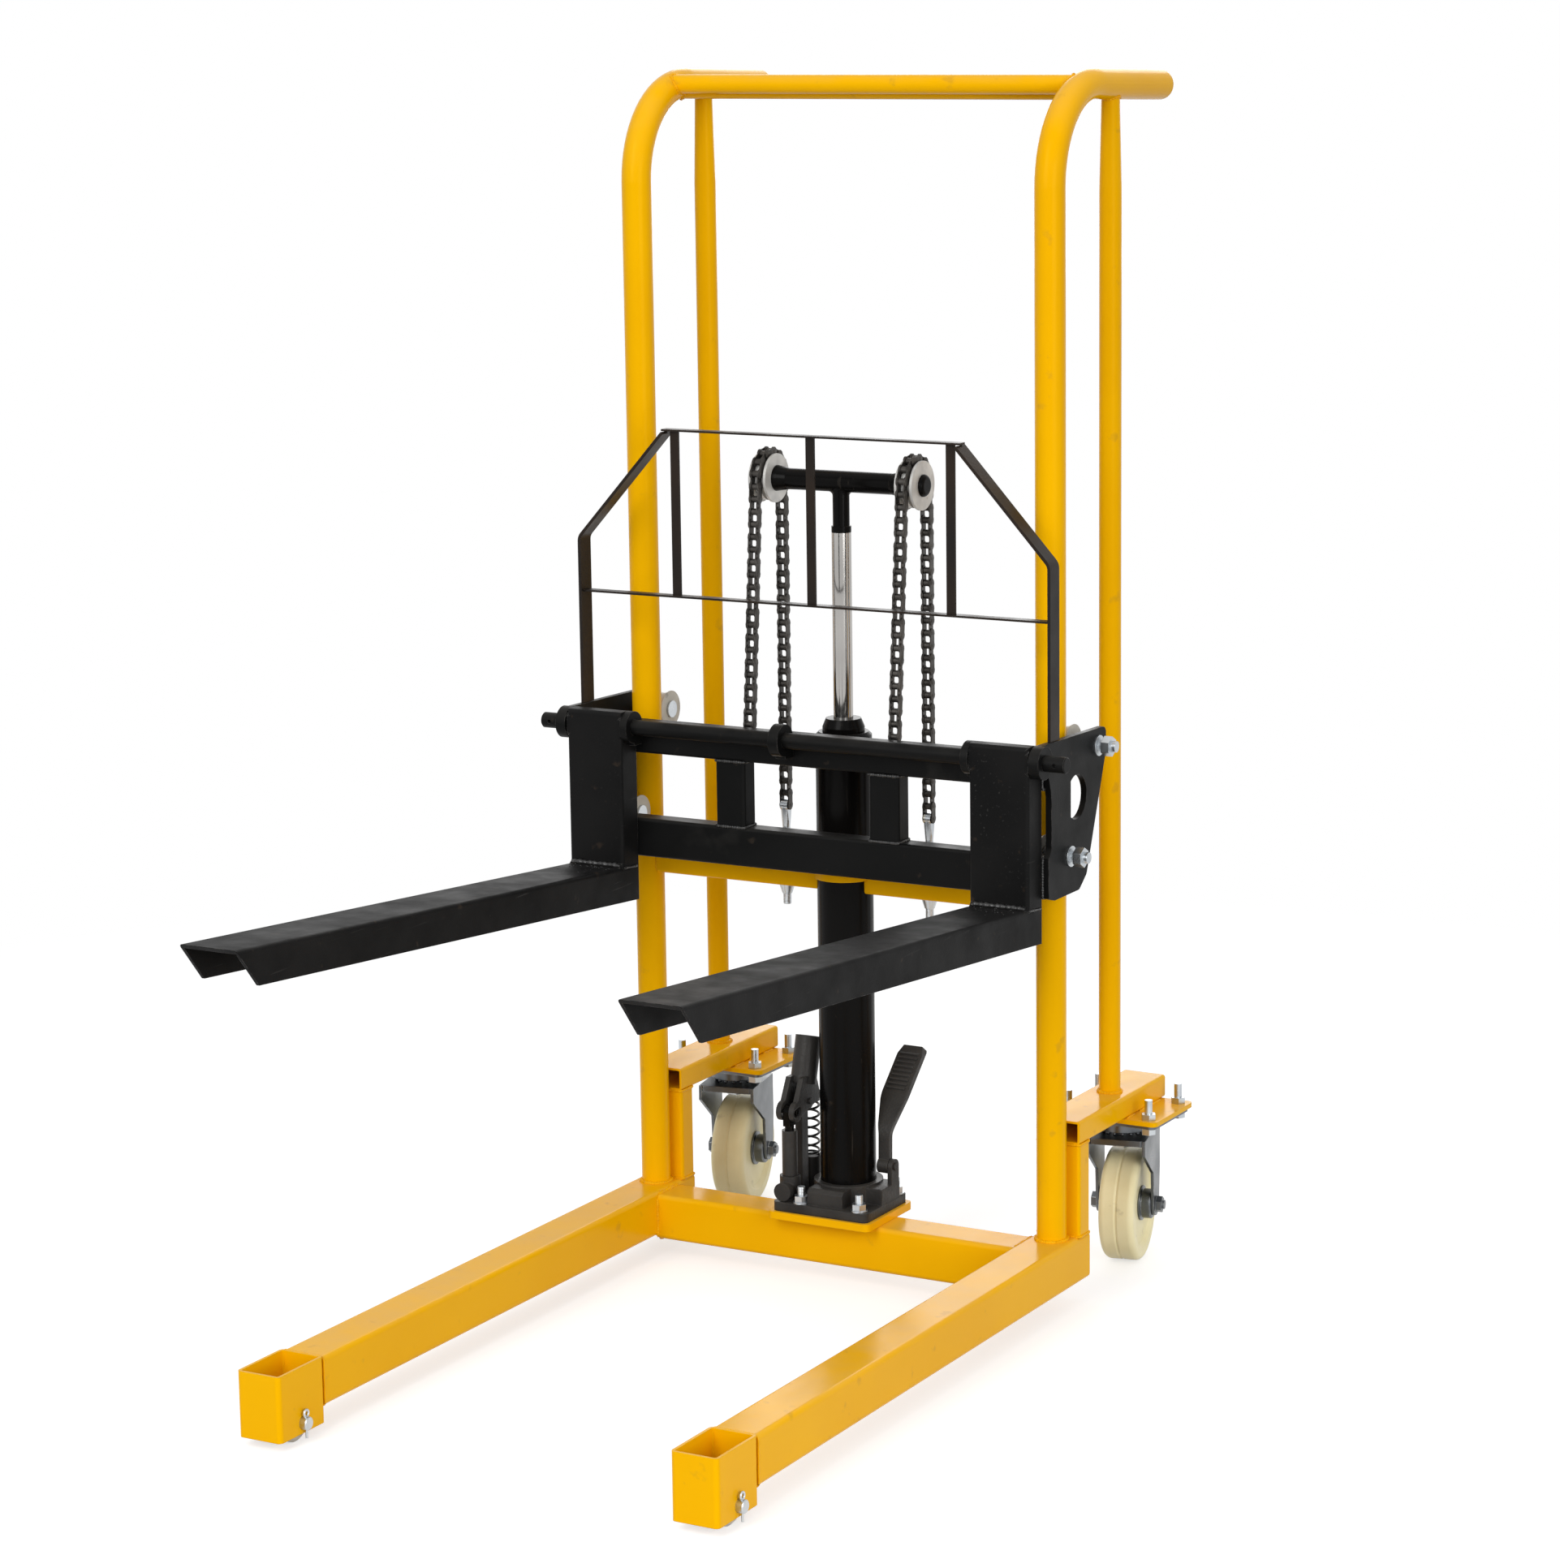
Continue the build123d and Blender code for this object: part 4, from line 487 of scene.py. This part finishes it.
def weldBead(path, size, closed=False, pitch=beadForm["pitch"]):
    # a round bead along the path: its radius swells once per ripple and wanders slowly,
    # and an open bead tapers to its ends
    path, marks = spread(path, pitch / beadForm["perRipple"], closed)
    share, rate, rateX = beadForm["wanderX"]
    wander = share * np.sin(marks * rate + path[:, 0] * rateX)
    share, rate, rateZ = beadForm["wanderZ"]
    wander = wander + share * np.sin(marks * rate + path[:, 2] * rateZ)
    radius = size * (1 + beadForm["ripple"] * np.cos(2 * np.pi * marks / pitch) + wander)
    if not closed:
        end = np.minimum(marks, marks[-1] - marks)
        radius = radius * np.sqrt(np.clip(end / (beadForm["taper"] * size), beadForm["tip"], 1))
    return carryRound(path, radius, closed), closed


# Welds of the standing frame. A stand is how far a bead's middle lies out from its tube and off what the tube
# meets, a bend is the Y and Z of its middle and its radius, and a bar is its radius, Y and Z.

frameWeld = {
    "bead": 2.6, "fine": 1.7, "thin": 1.3,
    "tubeX": 291.5, "tube": 19.0, "legTop": 91.0, "tubeStand": (0.6, 0.6),
    "stayY": 172.0, "stay": 14.0, "armTop": 242.0, "stayStand": (0.4, 0.6),
    "postY": 34.0, "postHalf": (30.0, 15.0), "postCorner": 4.0, "postStand": (0.4, 0.4),
    "armBottom": 212.0, "postHeadStand": (0.2, -0.4),
    "neck": 11.4, "neckStand": (0.3, 0.3), "handleZ": 1532.0, "fall": 0.03492,
    "bend": (120.0, 1407.73, 120.0), "bars": ((12.0, 84.0, 1528.0), (10.0, 106.5, 1518.5)),
    "barStand": (0.2, 0.3), "barLeast": 5.0,
    "legInside": 261.5, "beamY": (-48.0, 12.0), "beamZ": (27.0, 87.0), "beamGap": 4.0, "beamFootGap": 2.0,
    "boxRear": -800.0, "legMid": 61.0, "legHalf": 30.0, "boxCorner": 6.0, "boxStand": 0.1,
    "anchorZ": (514.0, 544.0), "anchorY": (-10.4, 15.2), "anchorGap": 2.0,
    "plateY": (154.0, 274.0), "armHalf": 30.0, "stitch": 26.0, "stitches": 3, "stitchGap": (6.0, 10.0),
}


def standingBeads(weld, x):
    # round the feet of the upright, the stay and the post, and round the post's head under the arm
    beads = []
    for y, z, radius, (out, up) in ((0, weld["legTop"], weld["tube"], weld["tubeStand"]),
                                    (weld["stayY"], weld["armTop"], weld["stay"], weld["stayStand"])):
        beads.append(weldBead(ringPath((x, y, z + up), radius + out, "z"), weld["bead"], True))
    halfX, halfY = weld["postHalf"]
    for z, (out, up) in ((weld["legTop"], weld["postStand"]), (weld["armBottom"], weld["postHeadStand"])):
        ring = framePath((x, weld["postY"], z + up), halfX + out, halfY + out, weld["postCorner"] + out, "z")
        beads.append(weldBead(ring, weld["fine"], True))
    return beads


def handleBeads(weld, side):
    # the stay's neck meets the underside of the handle in a saddle
    x = side * weld["tubeX"]
    out, off = weld["neckStand"]
    neck = ringPath((x, weld["stayY"], 0), weld["neck"] + out, "z")
    under = np.sqrt(weld["tube"] ** 2 - (neck[:, 0] - x) ** 2)
    neck[:, 2] = weld["handleZ"] - weld["fall"] * neck[:, 1] - under - off
    beads = [weldBead(neck, weld["fine"], True)]
    # a bar meets the bent tube where the bar's circle lies on the tube's round
    midY, midZ, bend = weld["bend"]
    out, off = weld["barStand"]
    for radius, barY, barZ in weld["bars"]:
        cope = ringPath((0, barY, barZ), radius + out, "x")
        aside = np.hypot(cope[:, 1] - midY, cope[:, 2] - midZ) - bend
        reach = np.sqrt(np.clip(weld["tube"] ** 2 - aside ** 2, weld["barLeast"] ** 2, None))
        cope[:, 0] = side * (weld["tubeX"] - reach - off)
        beads.append(weldBead(cope, weld["fine"], True))
    return beads


def legBeads(weld, side):
    # straight beads round the end of the cross beam, and a ring where the front box begins
    inside, gap = side * weld["legInside"], weld["beamGap"]
    front, rear = weld["beamY"]
    low, high = weld["beamZ"]
    lines = [[(inside, y, low + weld["beamFootGap"]), (inside, y, high - gap)] for y in (front, rear)]
    lines += [[(inside, front + gap, z), (inside, rear - gap, z)] for z in (low, high)]
    beads = [weldBead(line, weld["bead"]) for line in lines]
    half = weld["legHalf"] + weld["boxStand"]
    middle = (side * weld["tubeX"], weld["boxRear"], weld["legMid"])
    box = framePath(middle, half, half, weld["boxCorner"], "y")
    return beads + [weldBead(box, weld["thin"], True)]


def anchorBeads(weld, side):
    # upright beads where the anchor bar's end meets the round of the upright
    foot, head = weld["anchorZ"]
    gap = weld["anchorGap"]
    beads = []
    for y in weld["anchorY"]:
        x = side * (weld["tubeX"] - np.sqrt(weld["tube"] ** 2 - y ** 2))
        beads.append(weldBead([(x, y, foot + gap), (x, y, head - gap)], weld["fine"]))
    return beads


def plateBeads(weld, x):
    # stitches along both edges of the arm where it lies on the caster plate
    front, rear = weld["plateY"]
    frontGap, rearGap = weld["stitchGap"]
    starts = np.linspace(front + frontGap, rear - rearGap - weld["stitch"], weld["stitches"])
    beads = []
    for edge in (x - weld["armHalf"], x + weld["armHalf"]):
        for start in starts:
            line = [(edge, start, weld["armBottom"]), (edge, start + weld["stitch"], weld["armBottom"])]
            beads.append(weldBead(line, weld["fine"]))
    return beads


def frameWelds(weld):
    beads = []
    for side in sides.values():
        x = side * weld["tubeX"]
        beads += standingBeads(weld, x) + handleBeads(weld, side) + legBeads(weld, side)
        beads += anchorBeads(weld, side) + plateBeads(weld, x)
    return beads


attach(makePiece("frameWelds", frameWelds(frameWeld), "weldYellow"), "frame")

# Welds of the carriage: posts to rails and rails to side plates.
# A rail is the Z of its middle and half its height.

carriageWeld = {"bead": 2.0, "corner": 4.0, "postX": 110.0, "postY": -85.5, "postHalf": (21.0, 14.5),
                "postZ": (605.0, 690.0), "postStand": (0.2, 0.4), "plateX": 329.0, "railY": -85.0,
                "railHalf": 15.0, "rails": ((710.0, 20.0), (580.0, 25.0)), "railStand": (0.3, 0.5)}


def carriageWelds(weld):
    beads = []
    foot, head = weld["postZ"]
    halfX, halfY = weld["postHalf"]
    postOut, postOff = weld["postStand"]
    railOut, railOff = weld["railStand"]
    for side in sides.values():
        rings = [framePath((side * weld["postX"], weld["postY"], z), halfX + postOut, halfY + postOut,
                           weld["corner"], "z") for z in (foot + postOff, head - postOff)]
        rings += [framePath((side * (weld["plateX"] - railOff), weld["railY"], z), weld["railHalf"] + railOut,
                            half + railOut, weld["corner"], "x") for z, half in weld["rails"]]
        beads += [weldBead(ring, weld["bead"], True) for ring in rings]
    return beads


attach(makePiece("carriageWelds", carriageWelds(carriageWeld), "weldBlack"), "carriage")

# Heel welds of the forks, with spatter beside them

heelWeld = {
    "forkX": 287.5, "half": 40.0, "front": -138.0, "rear": -100.5, "heelZ": 543.6, "rise": 4.5,
    "bead": 4.0, "pitch": 7.5, "stand": 2.6, "endGap": 3.0,
    "rib": 1.6, "ribPitch": 4.5, "ribGap": 2.0, "ribSink": 0.6,
    "spatter": {"count": 26, "seed": 4, "size": (0.5, 1.3), "start": 6.0, "reach": 22.0, "aside": 34.0,
                "sink": 0.1, "around": 8, "radius": (1.0, 0.8, 0.35), "height": (0.0, 0.55, 0.85)},
}


def bladeZ(weld, y):
    # the top of the blade climbs evenly from the heel to the tip
    return weld["heelZ"] + (weld["rear"] - y) * np.tan(np.radians(weld["rise"]))


def spatterDomes(weld, side):
    # drops on the blade in front of the weld: low domes of a few rings, each ring higher and narrower
    drop = weld["spatter"]
    rng = np.random.default_rng(drop["seed"] + side)
    turn = fullTurn(drop["around"])
    radius, height = np.array(drop["radius"])[:, None], np.array(drop["height"])[:, None]
    dome = np.stack(np.broadcast_arrays(radius * np.cos(turn), radius * np.sin(turn), height), -1)
    domes = []
    for _ in range(drop["count"]):
        size = rng.uniform(*drop["size"])
        y = weld["front"] - drop["start"] - abs(rng.normal(0, drop["reach"]))
        x = side * weld["forkX"] + rng.uniform(-drop["aside"], drop["aside"])
        domes.append((np.array([x, y, bladeZ(weld, y) - drop["sink"]]) + size * dome, False))
    return domes


def heelWelds(weld, side):
    # a thick bead across the blade at the foot of the fork's back, and a thin one along each edge of the heel
    x, front, rear = side * weld["forkX"], weld["front"], weld["rear"]
    reach = weld["half"] - weld["endGap"]
    toe = (front - weld["stand"], bladeZ(weld, front) + weld["stand"])
    surfaces = [weldBead([(x - reach, *toe), (x + reach, *toe)], weld["bead"], pitch=weld["pitch"])]
    for edge in (x - weld["half"], x + weld["half"]):
        rib = [(edge, front + weld["ribGap"], bladeZ(weld, front) - weld["ribSink"]),
               (edge, rear - weld["ribGap"], weld["heelZ"] - weld["ribSink"])]
        surfaces.append(weldBead(rib, weld["rib"], pitch=weld["ribPitch"]))
    return surfaces + spatterDomes(weld, side)


for sideName, side in sides.items():
    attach(makePiece(sideName + "HeelWelds", heelWelds(heelWeld, side), "weldBlack"),
            sideName + "_fork")

# Threads on the ends of the pump's studs and the chain anchors

studThread = {"radius": 5.0, "pitch": 1.5, "depth": 0.42, "stand": 0.04, "runOut": 0.8, "perPitch": 6,
              "around": 16, "baseSpots": ((46, -57), (-38.5, -57), (50, 36), (-66, 37)), "baseZ": 119.2,
              "baseRun": 11.4, "anchorX": 104.0, "anchorY": 33.17, "anchorTop": 552.4, "anchorTopRun": 29.0,
              "anchorLow": 493.8, "anchorLowRun": 13.4}


def threadGrid(thread, foot, length, up=1):
    # radius = rod + depth x ridge, the ridge a triangle wave that climbs one pitch per turn
    turn, pitch = fullTurn(thread["around"]), thread["pitch"]
    along = np.linspace(0, length, int(length / pitch * thread["perPitch"]) + 2)[:, None]
    phase = along / pitch - turn / (2 * np.pi)
    ridge = 1 - np.abs(2 * (phase - np.floor(phase)) - 1)
    fade = np.clip(np.minimum(along, length - along) / (thread["runOut"] * pitch), 0, 1)
    reach = thread["radius"] + thread["stand"] + thread["depth"] * ridge * fade
    grid = np.stack(np.broadcast_arrays(reach * np.cos(turn), reach * np.sin(turn), up * along), -1)
    return np.asarray(foot, float) + grid, False


def studThreads(thread):
    grids = [threadGrid(thread, (x, y, thread["baseZ"]), thread["baseRun"]) for x, y in thread["baseSpots"]]
    for side in sides.values():
        x, y = side * thread["anchorX"], thread["anchorY"]
        grids.append(threadGrid(thread, (x, y, thread["anchorTop"]), thread["anchorTopRun"]))
        grids.append(threadGrid(thread, (x, y, thread["anchorLow"]), thread["anchorLowRun"], up=-1))
    return grids


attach(makePiece("studThreads", studThreads(studThread), "zincPlate"), "frame")

# Dark bushes on the hubs of the rear wheels

wheelBush = {"x": 291.5, "y": 214.0, "turn": 12.0, "trail": 26.0, "axleZ": 75.0, "radius": 19.5, "bore": 7.0,
             "inner": 18.2, "outer": 34.7, "flange": 3.5, "flangeRun": 2.5, "step": 1.0, "edge": 1.5,
             "around": 32, "sharp": 40}


def wheelBushes(bush, side):
    # a turned cap over each end of the hub: radius against distance along the axle
    wide, radius, edge = bush["radius"] + bush["flange"], bush["radius"], bush["edge"]
    inner, outer, flangeEnd = bush["inner"], bush["outer"], bush["inner"] + bush["flangeRun"]
    reach = np.array([wide, wide, radius, radius, radius - edge, bush["bore"]])
    along = np.array([inner, flangeEnd, flangeEnd + bush["step"], outer - edge, outer, outer])[:, None]
    yaw = np.radians(bush["turn"])
    axle = np.array([[np.cos(yaw), np.sin(yaw), 0]])
    level = np.array([[-np.sin(yaw), np.cos(yaw), 0]])
    upright = np.array([[0, 0, 1.0]])
    middle = np.array([side * bush["x"], bush["y"], bush["axleZ"]]) + bush["trail"] * level
    return [(circlesOn(middle + end * along * axle, level, upright, reach, bush["around"]), False)
            for end in (-1, 1)]


for sideName, side in sides.items():
    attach(makePiece(sideName + "WheelBushes", wheelBushes(wheelBush, side), "yokeZinc",
                      wheelBush["sharp"]), sideName + "_wheel")

# Roller chain: rear run, wrap over the sheave and front run

chain = {"pitch": 15.875, "teeth": 13, "headZ": 1039.0, "sheaveX": 104.0, "lean": 4.5, "rearLinks": 27,
         "frontLinks": 20, "plate": 6.2, "waist": 5.2, "thick": 1.4, "gap": 0.12, "plateEdge": 0.35,
         "inset": 0.94, "arcPoints": 9, "innerHalf": 3.9, "roller": 4.25, "rollerEdge": 0.3, "pin": 2.5,
         "pinStand": 0.4, "pinEdge": 0.4, "around": 12, "sharp": 35}


def chainPins(size):
    # pin centres in Y and Z: straight up, round the sheave's pitch circle, then down the leaning line
    pitch, headZ = size["pitch"], size["headZ"]
    radius = pitch / 2 / np.sin(np.pi / size["teeth"])
    step, lean = 2 * np.pi / size["teeth"], np.radians(size["lean"])
    arcLinks = int((np.pi + lean) / step) + 1
    below = np.arange(size["rearLinks"], 0, -1) * pitch
    rear = np.stack([np.full(len(below), radius), headZ - below], -1)
    turn = np.arange(arcLinks) * step
    wrap = np.stack([radius * np.cos(turn), headZ + radius * np.sin(turn)], -1)
    # the first front pin lies on the leaning line, one pitch from the last pin on the sheave
    leave = np.array([-radius * np.cos(lean), headZ - radius * np.sin(lean)])
    way = np.array([-np.sin(lean), -np.cos(lean)])
    reach = leave - wrap[-1]
    start = np.sqrt((reach @ way) ** 2 - reach @ reach + pitch ** 2) - reach @ way
    front = leave + way * (start + np.arange(size["frontLinks"] + 1) * pitch)[:, None]
    return np.vstack([rear, wrap, front]), arcLinks


def plateGrid(size, x0, x1):
    # figure-of-eight outline: an arc round each pin, joined by the waist; four rings give a small chamfer
    meet = np.pi - np.arcsin(size["waist"] / size["plate"])
    arc = np.linspace(-meet, meet, size["arcPoints"])
    lobe = size["plate"] * np.stack([np.sin(arc), np.cos(arc)], -1)
    outline = np.vstack([lobe + [0, size["pitch"]], -lobe])
    middle = np.array([0, size["pitch"] / 2])
    inset = middle + (outline - middle) * size["inset"]
    edge = size["plateEdge"]
    rings = ((x0, inset), (x0 + edge, outline), (x1 - edge, outline), (x1, inset))
    return np.stack([np.column_stack([np.full(len(line), x), line]) for x, line in rings])


def barGrid(radius, half, edge, z, around):
    # a round bar along X with a small chamfer at both ends
    turn = fullTurn(around)
    x = np.array([-half, edge - half, half - edge, half])[:, None]
    reach = np.array([radius - edge, radius, radius, radius - edge])[:, None]
    return np.stack(np.broadcast_arrays(x, reach * np.cos(turn), z + reach * np.sin(turn)), -1)


def linkShapes(size):
    # an outer link has two plates and two pins, an inner link two plates and two rollers
    half, thick, around = size["innerHalf"], size["thick"], size["around"]
    inner, outer = half + thick, half + thick + size["gap"]
    far, ends = outer + thick, (0, size["pitch"])
    outerLink = [plateGrid(size, -far, -outer), plateGrid(size, outer, far)]
    outerLink += [barGrid(size["pin"], far + size["pinStand"], size["pinEdge"], z, around) for z in ends]
    innerLink = [plateGrid(size, -inner, -half), plateGrid(size, half, inner)]
    innerLink += [barGrid(size["roller"], half, size["rollerEdge"], z, around) for z in ends]
    return outerLink, innerLink


def chainRun(size, first, last):
    # every link's shapes turned to lie from its pin to the next, outer and inner links by turns, both strands
    pins, _ = chainPins(size)
    surfaces = []
    for kind, shapes in enumerate(linkShapes(size)):
        index = np.arange(first, last)
        index = index[index % 2 == kind]
        wayY, wayZ = unit(pins[index + 1] - pins[index]).T[..., None, None]
        pinY, pinZ = pins[index].T[..., None, None]
        for grid in shapes:
            x, y, z = np.moveaxis(grid, -1, 0)
            turned = np.broadcast_arrays(x, pinY + y * wayZ + z * wayY, pinZ - y * wayY + z * wayZ)
            laid = np.stack(turned, -1)
            for side in sides.values():
                surfaces += [(link + [side * size["sheaveX"], 0, 0], False) for link in laid]
    return surfaces


def chainPiece(name, first, last):
    return makePiece(name, chainRun(chain, first, last), "chainSteel", chain["sharp"])


def payOut(piece):
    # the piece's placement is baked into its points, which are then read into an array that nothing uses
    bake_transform(piece)
    points = np.empty(len(piece.data.vertices) * 3, np.float32)
    piece.data.vertices.foreach_get("co", points)


pinLine, arcLinks = chainPins(chain)
wrapFirst = chain["rearLinks"]
frontFirst = wrapFirst + arcLinks
frontLast = frontFirst + chain["frontLinks"]
chainRear = chainPiece("chainRearRun", 0, wrapFirst)
chainWrap = chainPiece("chainWrap", wrapFirst, frontFirst)
chainFront = chainPiece("chainFrontRun", frontFirst, frontLast)
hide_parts("chain_rear")
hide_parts("chain_wraps")
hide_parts("chain_front")
payOut(chainRear)
payOut(chainFront)
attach(chainWrap, "ram")

# Return spring of the pump lever

spring = {"x": -62.0, "y": 14.0, "foot": 152.0, "top": 230.0, "radius": 10.0, "wire": 1.6, "turns": 7.5,
          "dead": 0.9, "seat": 4.0, "points": 360, "smooth": 12, "around": 10}


def springGrid(size):
    # a helix: the angle grows evenly; the height gains one wire per turn at both ends, climbs evenly
    # between them, and is smoothed where these meet
    turns = np.linspace(0, size["turns"], size["points"])
    low, high = size["foot"] + size["wire"], size["top"] - size["wire"]
    dead, flat = size["dead"], 2 * size["wire"]
    climb = (high - low - 2 * dead * flat) / (size["turns"] - 2 * dead)
    z = np.where(turns < dead, low + turns * flat, low + dead * flat + (turns - dead) * climb)
    z = np.where(turns > size["turns"] - dead, high - (size["turns"] - turns) * flat, z)
    window = 2 * size["smooth"] + 1
    z = np.convolve(np.pad(z, size["smooth"], mode="edge"), np.ones(window) / window, mode="valid")
    angle = 2 * np.pi * turns
    out = np.stack([np.cos(angle), np.sin(angle), np.zeros_like(angle)], -1)
    path = np.array([size["x"], size["y"], 0]) + size["radius"] * out
    path[:, 2] = z
    rise = np.cross(unit(np.gradient(path, axis=0)), out)
    return circlesOn(path, out, rise, size["wire"], size["around"]), False


returnSpring = makePiece("returnSpring", [springGrid(spring)], "springSteel")
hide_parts("pump_spring")
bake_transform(returnSpring)
print("chains and spring made")
